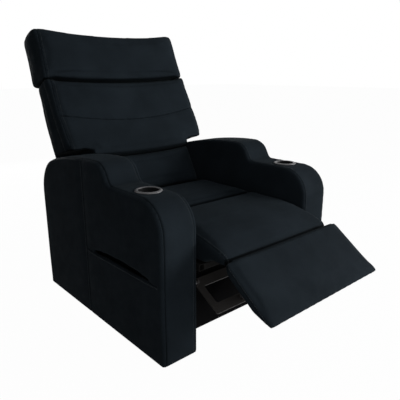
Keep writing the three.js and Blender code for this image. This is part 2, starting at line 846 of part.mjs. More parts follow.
// Rod of an actuator: a round bar into its tube, and a fork with the pin that drives a lever.
function actuatorRod(x, pinY, z, direction) {
  const forkIn = leverThickness / 2 + forkGap;
  const forkOut = forkIn + forkTine;
  const root = pinY + direction * forkReach;
  const end = root + direction * rodInside;
  const span = (a, b) => (a < b ? [a, b] : [b, a]);
  const rod = roundY(x, z, rodRadius, span(root - direction * forkTine, end));
  const yoke = block([x - forkOut, x + forkOut], span(root, root - direction * forkTine),
    [z - forkHeight / 2, z + forkHeight / 2]);
  const pinAt = new THREE.Vector2(pinY, z);
  const rootAt = new THREE.Vector2(root - direction * forkHeight / 2, z);
  const tines = [-1, 1].map((sign) => bar(pinAt, rootAt, forkHeight / 2,
    sign > 0 ? [x + forkIn, x + forkOut] : [x - forkOut, x - forkIn]));
  const pin = roundX(pinAt, pinRadius, [x - forkOut - headThickness, x + forkOut + headThickness]);
  return joined(rod, yoke, ...tines, pin);
}

// Housing of an actuator: tube with its bore, gearbox, motor can and mounting ear.
function actuatorHousing({ x, z, mouth, boreEnd, gearAt, direction, earEnd, motorSide }) {
  const span = (a, b) => (a < b ? [a, b] : [b, a]);
  const gearEnd = gearAt + direction * gearboxLength;
  const offset = motorSide * (gearboxWidth / 2 - motorRadius);
  const gearMiddle = x + offset / 2;
  const tube = roundY(x, z, actuatorRadius, span(mouth, gearAt + direction * tubeWall));
  const gearShape = roundedRect([gearMiddle - gearboxWidth / 2, gearMiddle + gearboxWidth / 2],
    [-gearboxHeight / 2, gearboxHeight / 2], boxEdge);
  const upright = new THREE.Matrix4().makeRotationX(Math.PI / 2);
  upright.setPosition(0, Math.max(gearAt, gearEnd), z);
  const gearbox = flatSlab(gearShape, [0, gearboxLength], upright);
  const motor = roundY(x + motorSide * (gearboxWidth / 2 + linkGap), z, motorRadius,
    span(gearAt + direction * tubeWall, gearAt - direction * motorLength));
  const ear = block([x - earWidth / 2, x + earWidth / 2], span(gearEnd - direction * tubeWall, earEnd),
    [z - tubeSide / 2, z + tubeSide / 2]);
  const bore = roundY(x, z, rodRadius + rodClearance, span(mouth - direction * overrun, boreEnd));
  return joined(tube, gearbox, motor, ear).subtract(bore);
}

// Zigzag spring from the front rail to the rear rail.
function seatSpring(x) {
  const low = tubeSide / 2;
  const run = seatFrameRear - tubeSide;
  const z = railTop + touch + springWire / 2;
  const points = [new THREE.Vector3(x, low, z)];
  for (let bend = 1; bend < springBends; bend++) {
    const swing = bend % 2 ? springSwing : -springSwing;
    const y = low + (run * bend) / springBends;
    points.push(new THREE.Vector3(x + swing, y, z));
  }
  points.push(new THREE.Vector3(x, low + run, z));
  const path = new THREE.CatmullRomCurve3(points);
  const section = new THREE.Shape();
  for (let i = 0; i < springSides; i++) {
    const angle = (2 * Math.PI * i) / springSides;
    const [px, py] = [Math.cos(angle) * springWire / 2, Math.sin(angle) * springWire / 2];
    if (i) section.lineTo(px, py);
    else section.moveTo(px, py);
  }
  section.closePath();
  return solid(new THREE.ExtrudeGeometry(section, { steps: 2 * springBends, extrudePath: path }));
}

function seatCushion() {
  const halfWidth = armInner - seatClearance;
  const front = seatSeamAt + seatSeamGap;
  const half = new THREE.Vector3(halfWidth, (seatRear - front) / 2, (seatTop - seatBottom) / 2);
  const middle = new THREE.Vector3(0, (seatRear + front) / 2, (seatTop + seatBottom) / 2);
  return cushion({
    half,
    corner: seatCorner,
    counts: [12, 8, 4],
    form(point, shares) {
      point.x -= Math.sign(shares.x) * seatPull * (1 - shares.y ** 2) * Math.abs(shares.x);
      point.z += ((shares.z + 1) / 2) * seatCrown * crownAt(shares);
      point.add(middle);
    },
  });
}

// Front pad: level at the seam, then rounding down to a thin lip that overhangs the footrest hinge.
function chaiseCushion() {
  const halfWidth = armInner - seatClearance;
  const rear = seatSeamAt - seatSeamGap;
  const half = new THREE.Vector3(halfWidth, (rear - chaiseFront) / 2, (seatTop - seatBottom) / 2);
  const middleY = (rear + chaiseFront) / 2;
  return cushion({
    half,
    corner: seatCorner,
    counts: [14, 14, 4],
    form(point, shares) {
      const y = point.y + middleY;
      const fall = Math.max(0, (noseFallFrom - y) / (noseFallFrom - noseLipAt));
      const top = seatTop + chaiseCrown * crownAt(shares) - noseDrop * fall ** 2;
      const under = THREE.MathUtils.clamp((noseUnderTo - y) / (noseUnderTo - noseUnderFrom), 0, 1);
      const bottom = seatBottom + (noseBottom - seatBottom) * under;
      point.x -= Math.sign(shares.x) * seatPull * (1 - shares.y ** 2) * Math.abs(shares.x);
      point.y = y;
      point.z = THREE.MathUtils.lerp(bottom, top, (shares.z + 1) / 2);
    },
  });
}

// How far the back's front face stands out of the hinge's plane, at a place up the back.
function backFrontAt(up) {
  return backFrontOut - (up - backFrontUp) * Math.tan(THREE.MathUtils.degToRad(backFrontLeanDegrees));
}

// The crease between lumbar and middle cushions, the sewn channel and the top edge all bow.
function creaseAt(x) {
  return creaseMiddle + creaseRise * (x / creaseHalf) ** 2;
}

function channelAt(x) {
  return seamMiddle + seamRise * (x / wingHalf) ** 2;
}

function midTopAt(x) {
  return midTopMiddle + midTopRise * (x / wingHalf) ** 2;
}

function frameRoom(high) {
  const side = armInner - frameSlack;
  return block([-side, side], [-overrun * 2, high], [backRearOut - overrun, uprightOut + touch], backFrame);
}

function lumbarCushion() {
  const halfWidth = armInner - lumbarClearance;
  const half = new THREE.Vector3(halfWidth, (creaseMiddle - lumbarBottom) / 2,
    (backFrontOut - uprightOut) / 2);
  return cushion({
    half,
    corner: backCorner,
    counts: [12, 8, 4],
    frame: backFrame,
    form(point, shares) {
      const top = creaseAt(point.x) - cushionGap;
      const up = THREE.MathUtils.lerp(lumbarBottom, top, (shares.y + 1) / 2);
      const front = backFrontAt(up) + backCrown * (crownAt(shares) - backSinkShare);
      point.y = up;
      point.z = THREE.MathUtils.lerp(uprightOut + touch, front, (shares.z + 1) / 2);
    },
  });
}

// Middle cushion: two crowned rolls with a bowed channel between them, and wings over the arms.
function middleCushion() {
  const half = new THREE.Vector3(wingHalf, (midTopMiddle - creaseMiddle) / 2,
    (backFrontOut - backRearOut - backPanel) / 2);
  const side = armInner - wingNotch;
  const back = backRearOut + backPanel + touch;
  let body = cushion({
    half,
    corner: backCorner,
    counts: [16, 12, 4],
    rolls: 2,
    frame: backFrame,
    form(point, shares, puff) {
      const seam = channelAt(point.x);
      const up = shares.y < 0
        ? THREE.MathUtils.lerp(creaseAt(point.x), seam, shares.y + 1)
        : THREE.MathUtils.lerp(seam, midTopAt(point.x), shares.y);
      const front = backFrontAt(up) + channelDepth * (Math.sqrt(puff) - 1)
        + backCrown * (1 - backSinkShare) * (1 - shares.x ** crownPower);
      point.x += shares.x * wingBulge * (1 - shares.y ** 2);
      point.y = up;
      point.z = THREE.MathUtils.lerp(back - backRearTrim, front, (shares.z + 1) / 2);
    },
  });
  for (const [, sign] of sides) {
    body = body.subtract(block(across(sign, side, wingHalf + overrun), [-overrun, wingBottom],
      [backRearOut - overrun, backFrontOut + 2 * overrun], backFrame));
  }
  const behind = block([-wingHalf - overrun, wingHalf + overrun], [-overrun, headHigh],
    [back - 2 * overrun, back], backFrame);
  return body.subtract(behind).subtract(frameRoom(midTopMiddle + overrun));
}

function headrestPillow() {
  const half = new THREE.Vector3(headHalf, (headHigh - headLow) / 2, headThick / 2);
  let body = cushion({
    half,
    corner: headCorner,
    counts: [16, 8, 6],
    frame: backFrame,
    form(point, shares) {
      const dip = headDip * (1 - shares.x ** 2);
      point.x -= shares.x * shares.y * headFlare;
      point.x -= Math.sign(shares.x) * headPull * (1 - shares.y ** 2) * Math.abs(shares.x);
      point.y += (headHigh + headLow) / 2 - dip;
      point.z += headOut - headThick / 2 + Math.max(0, shares.z) * headCrown * crownAt(shares);
    },
  });
  for (const [, sign] of sides) {
    const x = across(sign, uprightInner - touch, bracketInner + touch);
    body = body.subtract(block(x, [headLow - 2 * overrun, uprightHigh + touch],
      [uprightOut - tubeSide - touch, uprightOut + touch], backFrame));
  }
  return body;
}

// Upright tube of the back with its pivot bracket welded to the outer face.
function backUpright(sign) {
  const x = sign > 0 ? uprightInner : -bracketInner;
  const tube = squareTube("y", uprightHigh - uprightLow, [x, uprightLow, uprightOut - tubeSide], backFrame);
  const foot = backPoint(uprightLow + tubeSide, uprightOut - tubeSide / 2);
  const head = backPoint(uprightLow + bracketReach, uprightOut - tubeSide / 2);
  const plate = across(sign, bracketInner - touch, bracketOuter);
  return joined(tube, bar(backHinge, foot, backEye - tubeWall, plate), bar(foot, head, tubeSide / 2, plate))
    .subtract(roundX(backHinge, backPinRadius + pinClearance,
      across(sign, bracketInner - overrun, armInner)));
}

// Gives a place of the back's own plane in side view.
function backPoint(up, out) {
  const place = new THREE.Vector3(0, up, out).applyMatrix4(backFrame);
  return new THREE.Vector2(place.y, place.z);
}

function backCrossBar(up, withLever) {
  const low = [touch - uprightInner, up - tubeSide / 2, uprightOut - tubeSide];
  const tube = squareTube("x", 2 * (uprightInner - touch), low, backFrame);
  if (!withLever) return tube;
  const root = backPoint(up, uprightOut - tubeSide / 2);
  return tube.add(slottedLever(backDrive, root).subtract(block([-tubeHalf, tubeHalf],
    [up - tubeSide / 2 + tubeWall, up + tubeSide], [uprightOut - 2 * tubeSide, uprightOut], backFrame)))
    .subtract(leverSlot(backDrive, pinRadius + slotSlack, overrun));
}

// Where the headrest's underside lies at a place across the back.
function headBottomAt(x) {
  return headLow - headDip * (1 - (x / headHalf) ** 2);
}

// Upholstered panel over the back's rear, up to the headrest and down behind the arms' inner edges.
function outerBack() {
  const lower = bracketInner - 2 * touch;
  const low = uprightLow + tubeWall;
  const side = wingHalf - backPanelInset;
  const skirt = wingBottom - wingSkirt;
  const shape = new THREE.Shape();
  shape.moveTo(-lower, low);
  shape.lineTo(lower, low);
  shape.lineTo(lower, skirt);
  shape.lineTo(side, skirt);
  for (let i = 0; i <= backPanelSteps; i++) {
    const x = side * (1 - (2 * i) / backPanelSteps);
    shape.lineTo(x, headBottomAt(x) - backPanelGap);
  }
  shape.lineTo(-side, skirt);
  shape.lineTo(-lower, skirt);
  shape.closePath();
  return flatSlab(shape, [backRearOut, backRearOut + backPanel - touch], backFrame, headThickness);
}

function controlBox() {
  const shape = roundedRect([boxX - boxAcross / 2, boxX + boxAcross / 2],
    [boxZ - boxTall / 2, boxZ + boxTall / 2], boxEdge);
  const upright = new THREE.Matrix4().makeRotationX(Math.PI / 2);
  upright.setPosition(0, rearRailAt - touch, 0);
  return flatSlab(shape, [0, boxDeep], upright, boxEdge / 2);
}

function powerInlet() {
  const profile = [
    [0, -inletBody],
    [inletBodyRadius, -inletBody],
    [inletBodyRadius, touch],
    [inletRadius, touch],
    [inletRadius, inletFlange],
    [inletBore, inletFlange],
    [inletBore, inletFlange - inletBoreDepth],
    [0, inletFlange - inletBoreDepth],
  ].map(([r, z]) => new THREE.Vector2(r, z));
  const inlet = new THREE.LatheGeometry(profile, barrel);
  inlet.translate(inletX, rearRailAt + boardThickness, inletZ);
  return solid(inlet);
}

function rearRail() {
  const hole = roundY(inletX, inletZ, inletBodyRadius + touch,
    [rearRailAt - overrun, rearRailAt + boardThickness + overrun]);
  return block([-plateOuter, plateOuter], [rearRailAt, rearRailAt + boardThickness],
    [rearRailLow, rearRailTop]).subtract(hole);
}

// Front board under the seat, with an opening at its top for the footrest actuator.
function kickPanel() {
  const thick = [kickAt, kickAt + boardThickness - bracketFlangeThickness];
  const opening = block([-kickNotch, kickNotch], [kickAt - overrun, kickAt + overrun],
    [kickNotchLow, kickTop + overrun]);
  return block([-tubeHalf, tubeHalf], thick, [kickGap, kickTop]).subtract(opening);
}

// Opening in the right arm's inner wall that takes the switch.
function switchHole() {
  return block([-armInner - innerFoam - touch, overrun - armInner],
    [switchAt - switchAcross / 2 + switchLip - touch, switchAt + switchAcross / 2 - switchLip + touch],
    [switchHeight - switchTall / 2 + switchLip - touch, switchHeight + switchTall / 2 - switchLip + touch]);
}

// Switch: a face plate with two windows and a shallow open box behind it.
function switchBezel() {
  const y = [switchAt - switchAcross / 2, switchAt + switchAcross / 2];
  const z = [switchHeight - switchTall / 2, switchHeight + switchTall / 2];
  const inner = [y[0] + switchLip, y[1] - switchLip];
  const tall = [z[0] + switchLip, z[1] - switchLip];
  const face = [touch - armInner, touch - armInner + switchPlate];
  let body = block(face, y, z).add(block([-armInner - switchDeep, face[1]], inner, tall));
  body = body.subtract(block([-armInner - switchDeep + switchWall, face[0]],
    [inner[0] + switchWall, inner[1] - switchWall], [tall[0] + switchWall, tall[1] - switchWall]));
  for (const sign of [-1, 1]) {
    const half = buttonSide / 2 + buttonGap;
    const middle = switchHeight + (sign * buttonPitch) / 2;
    body = body.subtract(block([-armInner - switchWall, overrun - armInner],
      [switchAt - half, switchAt + half], [middle - half, middle + half]));
  }
  return body;
}

function switchButton(sign) {
  const middle = switchHeight + (sign * buttonPitch) / 2;
  const face = touch - armInner + switchPlate + buttonProud;
  const back = face - buttonProud - switchPlate - 2 * buttonTravel;
  const shape = roundedRect([switchAt - buttonSide / 2, switchAt + buttonSide / 2],
    [middle - buttonSide / 2, middle + buttonSide / 2], boxEdge / 2);
  return sideSlab(shape, [back, face], buttonGap, 2);
}

for (const [side, sign] of sides) {
  piece(`arm_upholstery_${side}`, armUpholstery(sign), leather);
  piece(`arm_frame_${side}`, armTimber(sign), timber);
  piece(`cup_holder_${side}`, cupHolder(sign), grayRim);
  piece(`front_glide_${side}`, glide(sign, glideInset), blackPlastic);
  piece(`rear_glide_${side}`, glide(sign, armDepth - glideInset), blackPlastic);
  piece(`side_plate_${side}`, sidePlate(sign), darkSteel);
}

const tubeRun = 2 * tubeHalf;
piece("front_cross_tube", squareTube("x", tubeRun, [-tubeHalf, frontTubeAt - tubeSide / 2,
  frontTubeHeight - tubeSide / 2]), darkSteel);
const footDriveHeight = pushHinge.y - footLever;
const backDriveHeight = backHinge.y - backLever;
piece("middle_cross_tube", squareTube("x", tubeRun, [-tubeHalf, middleTubeAt - tubeSide / 2,
  footDriveHeight - actuatorRadius - touch - tubeSide]), darkSteel);
piece("rear_cross_tube", squareTube("x", tubeRun, [-tubeHalf, rearTubeAt - tubeSide / 2,
  footDriveHeight - tubeSide / 2]), darkSteel);
piece("kick_panel", kickPanel(), blackBoard);
piece("rear_rail", rearRail(), blackBoard);

const railLow = railTop - tubeSide;
for (const [side, sign] of sides) {
  const x = sign > 0 ? tubeHalf - tubeSide : -tubeHalf;
  piece(`seat_rail_${side}`, squareTube("y", seatFrameRear, [x, 0, railLow]), darkSteel);
}
const railRun = 2 * (tubeHalf - tubeSide - touch);
piece("seat_rail_front", squareTube("x", railRun, [-railRun / 2, 0, railLow]), darkSteel);
piece("seat_rail_rear", squareTube("x", railRun,
  [-railRun / 2, seatFrameRear - tubeSide, railLow]), darkSteel);
springShares.forEach((share, i) => piece(`seat_spring_${i + 1}`, seatSpring(share * armInner), brightSteel));
piece("seat_cushion", seatCushion(), leather);
piece("front_pad", chaiseCushion(), leather);

for (const [side, sign] of sides) {
  piece(`footrest_bracket_${side}`, footHingeBracket(sign), darkSteel);
  piece(`footrest_pin_${side}`, shoulderPin(footHinge, sign, pinRadius, headRadius, lugIn - touch,
    footArmOut + linkGap / 2), brightSteel);
  piece(`footrest_arm_${side}`, footArm(sign), darkSteel);
  piece(`footrest_stay_${side}`, stay(sign), darkSteel);
  piece(`push_frame_pin_${side}`, shoulderPin(pushHinge, sign, pinRadius, headRadius,
    pushWidth / 2 - pushPlate - touch, plateOuter - touch,
    [pushWidth / 2 + touch, plateInner - touch]), brightSteel);
}
piece("footrest_board", footBoardPlate(), timber);
piece("footrest_cushion", footCushion(), leather);
piece("push_frame", pushFramePlate(), darkSteel);

for (const [side, sign] of sides) {
  piece(`back_upright_${side}`, backUpright(sign), darkSteel);
  piece(`back_pin_${side}`, shoulderPin(backHinge, sign, backPinRadius, backHead, bracketInner - touch,
    plateOuter - touch), brightSteel);
}
piece("back_cross_bar_lower", backCrossBar(crossUps[0], true), darkSteel);
piece("back_cross_bar_middle", backCrossBar(crossUps[1], false), darkSteel);
piece("back_cross_bar_upper", backCrossBar(crossUps[2], false), darkSteel);
piece("outer_back", outerBack(), leather);
piece("lumbar_cushion", lumbarCushion(), leather);
piece("middle_back_cushion", middleCushion(), leather);
piece("headrest", headrestPillow(), leather);

piece("footrest_actuator", actuatorHousing({
  x: 0, z: footDriveHeight, mouth: footTubeFront, boreEnd: footBoreEnd, gearAt: footTubeRear, direction: 1,
  earEnd: rearTubeAt - tubeSide / 2 - touch, motorSide: 1,
}), darkSteel);
piece("footrest_actuator_rod", actuatorRod(0, leverPin(footDrive).x, footDriveHeight, 1), brightSteel);
piece("back_actuator", actuatorHousing({
  x: backActuatorX, z: backDriveHeight, mouth: backTubeRear, boreEnd: backBoreEnd, gearAt: backTubeFront,
  direction: -1, earEnd: frontTubeAt + tubeSide / 2 + touch, motorSide: -1,
}), darkSteel);
piece("back_actuator_rod", actuatorRod(backActuatorX, leverPin(backDrive).x, backDriveHeight, -1),
  brightSteel);

piece("control_box", controlBox(), blackPlastic);
piece("power_inlet", powerInlet(), blackPlastic);
piece("switch_bezel", switchBezel(), blackPlastic);
piece("switch_button_open", switchButton(1), blackPlastic);
piece("switch_button_close", switchButton(-1), blackPlastic);

export default seat;
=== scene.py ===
import math

import bmesh
import bpy
from mathutils import Matrix, Vector


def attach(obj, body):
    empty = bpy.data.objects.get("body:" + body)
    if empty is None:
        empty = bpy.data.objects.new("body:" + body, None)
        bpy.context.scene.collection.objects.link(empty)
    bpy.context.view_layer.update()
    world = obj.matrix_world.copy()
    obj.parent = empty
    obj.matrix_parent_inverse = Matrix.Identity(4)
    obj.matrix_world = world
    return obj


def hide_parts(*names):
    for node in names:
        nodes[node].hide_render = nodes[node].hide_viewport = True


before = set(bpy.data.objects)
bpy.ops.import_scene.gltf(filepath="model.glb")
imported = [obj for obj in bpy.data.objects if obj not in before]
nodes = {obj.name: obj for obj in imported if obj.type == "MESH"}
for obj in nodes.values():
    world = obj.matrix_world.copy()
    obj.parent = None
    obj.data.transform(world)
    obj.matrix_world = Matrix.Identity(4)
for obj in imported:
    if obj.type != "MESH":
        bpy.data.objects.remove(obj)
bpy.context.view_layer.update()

scene = bpy.context.scene

# The studio: a camera at the photograph's place, soft lamps and a plain floor. The floor and the
# air look white to the camera, and the floor keeps only a faint shadow of the seat.
camera = bpy.data.objects.new("camera", bpy.data.cameras.new("camera"))
camera.location = (-1.25, -1.495, 0.998)
camera.rotation_euler = (math.radians(74.193), 0, math.radians(-41.337))
camera.data.sensor_width = 36
camera.data.lens = 40.33
scene.collection.objects.link(camera)
scene.camera = camera
scene.view_settings.view_transform = "Standard"

LAMPS = (  # name, place, the point it is turned to, size, watts
    ("key_lamp", (3.0, -2.6, 1.6), (0, -0.2, 0.5), 2.2, 320),
    ("fill_lamp", (-0.8, -2.2, 0.9), (0, -0.2, 0.4), 1.6, 36),
    ("top_lamp", (0.6, -0.6, 3.4), (0, 0, 0.6), 2.4, 12),
    ("back_lamp", (0.5, 3.6, 1.3), (0, 0.3, 0.6), 2.0, 110),
)
AIR_LIGHT = 0.15
FLOOR_HALF = 30
FLOOR_GREY = 0.3
FLOOR_GLOW = 0.98  # the share that glows white to the eye, the rest shows the shadow

for name, place, aim, size, watts in LAMPS:
    lamp = bpy.data.objects.new(name, bpy.data.lights.new(name, "AREA"))
    lamp.data.size = size
    lamp.data.energy = watts
    lamp.location = place
    lamp.rotation_euler = (Vector(place) - Vector(aim)).to_track_quat("Z", "Y").to_euler()
    scene.collection.objects.link(lamp)


class Mixture:
    """A node tree that is filled step by step, for a finish or for the studio's air."""

    def __init__(self, tree):
        self.tree = tree
        tree.nodes.clear()

    def add(self, kind, **values):
        """Adds a node. Each value goes to the setting of its name, or else to the socket."""
        added = self.tree.nodes.new(kind)
        for key, value in values.items():
            if hasattr(added, key):
                setattr(added, key, value)
            else:
                added.inputs[key.replace("_", " ")].default_value = value
        return added

    def join(self, start, end):
        self.tree.links.new(start, end)

    def white_to_eye(self):
        """1 for what the eye sees, straight, mirrored or through glass, and 0 for the light."""
        rays = self.add("ShaderNodeLightPath")
        mirrored = self.add("ShaderNodeMath", operation="MAXIMUM")
        seen = self.add("ShaderNodeMath", operation="MAXIMUM")
        self.join(rays.outputs["Is Glossy Ray"], mirrored.inputs[0])
        self.join(rays.outputs["Is Transmission Ray"], mirrored.inputs[1])
        self.join(rays.outputs["Is Camera Ray"], seen.inputs[0])
        self.join(mirrored.outputs[0], seen.inputs[1])
        return seen.outputs[0]

    def blend(self, share, lit, white, end):
        """Blends two shaders by a share and ends the tree with them."""
        mix = self.add("ShaderNodeMixShader")
        self.join(share, mix.inputs[0])
        self.join(lit.outputs[0], mix.inputs[1])
        self.join(white.outputs[0], mix.inputs[2])
        self.join(mix.outputs[0], end.inputs["Surface"])


def studio_air():
    made = bpy.data.worlds.new("studio_air")
    made.use_nodes = True
    mixture = Mixture(made.node_tree)
    lit = mixture.add("ShaderNodeBackground", Color=(1, 1, 1, 1), Strength=AIR_LIGHT)
    white = mixture.add("ShaderNodeBackground", Color=(1, 1, 1, 1), Strength=1)
    mixture.blend(mixture.white_to_eye(), lit, white, mixture.add("ShaderNodeOutputWorld"))
    return made


def blank_material(name, mixture=Mixture):
    made = bpy.data.materials.new(name)
    made.use_nodes = True
    return made, mixture(made.node_tree)


def set_material(piece, made):
    piece.data.materials.clear()
    piece.data.materials.append(made)


def floor_material():
    made, mixture = blank_material("white_floor")
    paper = mixture.add("ShaderNodeBsdfDiffuse", Color=(FLOOR_GREY, FLOOR_GREY, FLOOR_GREY, 1))
    glow = mixture.add("ShaderNodeEmission")
    share = mixture.add("ShaderNodeMath", operation="MULTIPLY")
    share.inputs[1].default_value = FLOOR_GLOW
    mixture.join(mixture.white_to_eye(), share.inputs[0])
    mixture.blend(share.outputs[0], paper, glow, mixture.add("ShaderNodeOutputMaterial"))
    return made


def new_piece(name, bm, smooth=True):
    """Turns a bmesh into an object at the origin."""
    mesh = bpy.data.meshes.new(name)
    bm.to_mesh(mesh)
    bm.free()
    if smooth:
        mesh.polygons.foreach_set("use_smooth", [True] * len(mesh.polygons))
    piece = bpy.data.objects.new(name, mesh)
    scene.collection.objects.link(piece)
    return piece


scene.world = studio_air()
bm = bmesh.new()
bmesh.ops.create_grid(bm, x_segments=1, y_segments=1, size=FLOOR_HALF)
floor = new_piece("floor", bm)
set_material(floor, floor_material())


# The two arms: leather over foam on a timber frame, with a flat tray that takes a cup holder,
# a step up to a raised pad, and a pocket in the outer side. Each is drawn in side view, given
# its thickness and rounded rims, hollowed for cup and pocket, and then sewn along its panels.
ARMS = (("right", -1), ("left", 1))
ARM_OUTER, ARM_INNER = 0.4575, 0.3015
ARM_CORNERS = (  # place from front to rear, height, rounding and its steps
    (-0.405, 0.005, 0, 0),
    (-0.405, 0.6, 0.118, 14),
    (-0.08, 0.6, 0.014, 4),
    (-0.0349, 0.68, 0.045, 8),
    (0.1873, 0.68, 0.16, 8),
    (0.52, 0.6093, 0.1393, 12),
    (0.52, 0.005, 0, 0),
)
ARM_RIM, ARM_RIM_STEPS = 0.013, 5
ARM_HEM = 0.006  # below this height the cover is tucked under
ARM_VOXEL = 0.0055
ARM_SEAM = 0.116  # where the outer side's two panels meet
RIM_SEAM = 0.0135  # from the arm's sides in to the seams round its rim
OUTER_PART, INNER_PART = 0.44, 0.33  # beyond these lie the outer and the inner side
PANEL_CROWN, PANEL_FADE, PANEL_DIP = 0.0035, 0.12, 0.03
PANEL_MIDDLE, PANEL_HALF, PANEL_LOW = 0.0575, 0.5, 0.02
CUP_X, CUP_Y, TRAY = 0.3795, -0.232, 0.6
CUP_BORE, CUP_DEEP, ROUND_STEPS = 0.0386, 0.0825, 64
CUP_CLEAR = 0.052  # no seam comes this near the cup's axis
POCKET_DEPTH = (0.4255, 0.4455)
POCKET_MOUTH = ((-0.375, 0.31, 0, 0), (0.106, 0.3, 0, 0), (-0.1345, 0.352, 0.2, 10))
POCKET_MIDDLE, POCKET_SIZE = (-0.1345, 0.222), (0.449, 0.184)
POCKET_CLEAR = ((-0.38, 0.11), (0.12, 0.34))  # front to rear and low to high
POCKET_SEAM, POCKET_SLOPE = 0.305, 0.0208
TOOL_REACH = 0.06  # how far a cutting solid reaches past what it cuts


def outline(points, x):
    """A flat face in side view whose corners are rounded one by one."""
    bm = bmesh.new()
    ring = [bm.verts.new((x, point[0], point[1])) for point in points]
    bm.faces.new(ring)
    for vert, (_, _, rounding, steps) in zip(ring, points):
        if rounding:
            bmesh.ops.bevel(bm, geom=[vert], offset=rounding, segments=steps, profile=0.5,
                            affect="VERTICES", material=-1)
    return bm


def thicken(bm, depth):
    """Draws every face out along a vector into a closed solid."""
    drawn = bmesh.ops.extrude_face_region(bm, geom=bm.faces[:])
    verts = [g for g in drawn["geom"] if isinstance(g, bmesh.types.BMVert)]
    bmesh.ops.translate(bm, vec=depth, verts=verts)
    bmesh.ops.recalc_face_normals(bm, faces=bm.faces[:])


def baked(piece):
    """Applies the piece's modifiers to its mesh."""
    graph = bpy.context.evaluated_depsgraph_get()
    mesh = bpy.data.meshes.new_from_object(piece.evaluated_get(graph))
    piece.modifiers.clear()
    old, piece.data = piece.data, mesh
    bpy.data.meshes.remove(old)
    return piece


def remeshed(piece, voxel):
    remesh = piece.modifiers.new("skin", "REMESH")
    remesh.mode = "VOXEL"
    remesh.voxel_size = voxel
    remesh.use_smooth_shade = True
    return baked(piece)


def relaxed(bm, times=2):
    for _ in range(times):
        bmesh.ops.smooth_vert(bm, verts=bm.verts, factor=0.5, use_axis_x=True,
                              use_axis_y=True, use_axis_z=True)


def cut_away(piece, name, bm):
    """Takes the solid in a bmesh out of a piece."""
    tool = new_piece(name, bm, smooth=False)
    tool.hide_render = True
    taken = piece.modifiers.new("cut", "BOOLEAN")
    taken.operation = "DIFFERENCE"
    taken.solver = "EXACT"
    taken.object = tool
    baked(piece)
    mesh = tool.data
    bpy.data.objects.remove(tool)
    bpy.data.meshes.remove(mesh)


SEAM_REACH = 0.02  # how near a seam a face is looked at
VALLEY_REACH, VALLEY_WIDTH = 0.04, 0.014
PUCKER = 0.4
PUCKER_WAVES = (170, 140, 190)


def cut_lines(bm, place, normal, where, bow=None):
    """Cuts a line across the part of a surface that where picks, and returns what was cut.
    bow is how far the line leaves its plane; the surface is bent straight for the cut."""
    normal = normal.normalized()
    if bow:
        for vert in bm.verts:
            vert.co -= normal * bow(vert.co)
    near = [f for f in bm.faces
            if abs((f.calc_center_median() - place).dot(normal)) < SEAM_REACH]
    chosen = [f for f in near if where(f.calc_center_median(), f.normal)]
    geom = set(chosen)
    for face in chosen:
        geom.update(face.edges)
        geom.update(face.verts)
    cut = bmesh.ops.bisect_plane(bm, geom=list(geom), dist=1e-5, plane_co=place,
                                 plane_no=normal)
    if bow:
        for vert in bm.verts:
            vert.co += normal * bow(vert.co)
    return cut["geom_cut"]


def paths_of(geom):
    """Strings the edges of a cut into runs of points with their outward directions."""
    edges = {g for g in geom if isinstance(g, bmesh.types.BMEdge)}
    touching = {}
    for edge in edges:
        for vert in edge.verts:
            touching.setdefault(vert, []).append(edge)

    def left_at(vert):
        return [edge for edge in touching[vert] if edge in edges]

    runs = []
    while edges:
        ends = [e for e in edges if any(len(left_at(v)) == 1 for v in e.verts)]
        edge = min(ends or edges, key=lambda e: tuple(round(c, 5) for c in e.verts[0].co))
        edges.discard(edge)
        first = edge.verts[1] if left_at(edge.verts[0]) else edge.verts[0]
        run = [first, edge.other_vert(first)]
        while left_at(run[-1]):
            onward = left_at(run[-1])[0]
            edges.discard(onward)
            run.append(onward.other_vert(run[-1]))
        runs.append([(v.co.copy(), v.normal.copy()) for v in run])
    return runs


def painted_shade_and_dust_layer(bm):
    """The attribute that darkens the leather: painted shade and dust in a seam's groove, and
    painted shade in a gap or inside a pocket.
    """
    return bm.verts.layers.float.get("seam") or bm.verts.layers.float.new("seam")


def sew(bm, place, normal, where, bow=None, depth=0.0022, gap=0.003, thread=0.006,
        soft=0.0012):
    """A seam: a fine groove in a soft, slightly puckered valley, and the runs for top stitching."""
    normal = Vector(normal).normalized()
    place = Vector(place)
    bm.normal_update()
    for vert in bm.verts:
        off = (vert.co - place).dot(normal) - (bow(vert.co) if bow else 0)
        if abs(off) < VALLEY_REACH and where(vert.co, vert.normal):
            phase = sum(wave * at for wave, at in zip(PUCKER_WAVES, vert.co))
            pucker = 1 + PUCKER * math.sin(phase)
            vert.co -= vert.normal * soft * pucker * math.exp(-((off / VALLEY_WIDTH) ** 2))
    shade = painted_shade_and_dust_layer(bm)
    for side in (-gap, gap):
        cut_lines(bm, place + normal * side, normal, where, bow)
    middle = cut_lines(bm, place, normal, where, bow)
    bm.normal_update()
    # painted shade and dust: the groove's middle line is darkened through the seam attribute
    for vert in {g for g in middle if isinstance(g, bmesh.types.BMVert)}:
        vert.co -= vert.normal * depth
        vert[shade] = 1.0
    if not thread:
        return []
    row = cut_lines(bm, place + normal * thread, normal, where, bow)
    bm.normal_update()
    return paths_of(row)


STITCH_PITCH, STITCH_LENGTH, THREAD = 0.0075, 0.0046, 0.0008
THREAD_RAISED, THREAD_HALF = 0.3, 0.75  # as shares of the thread


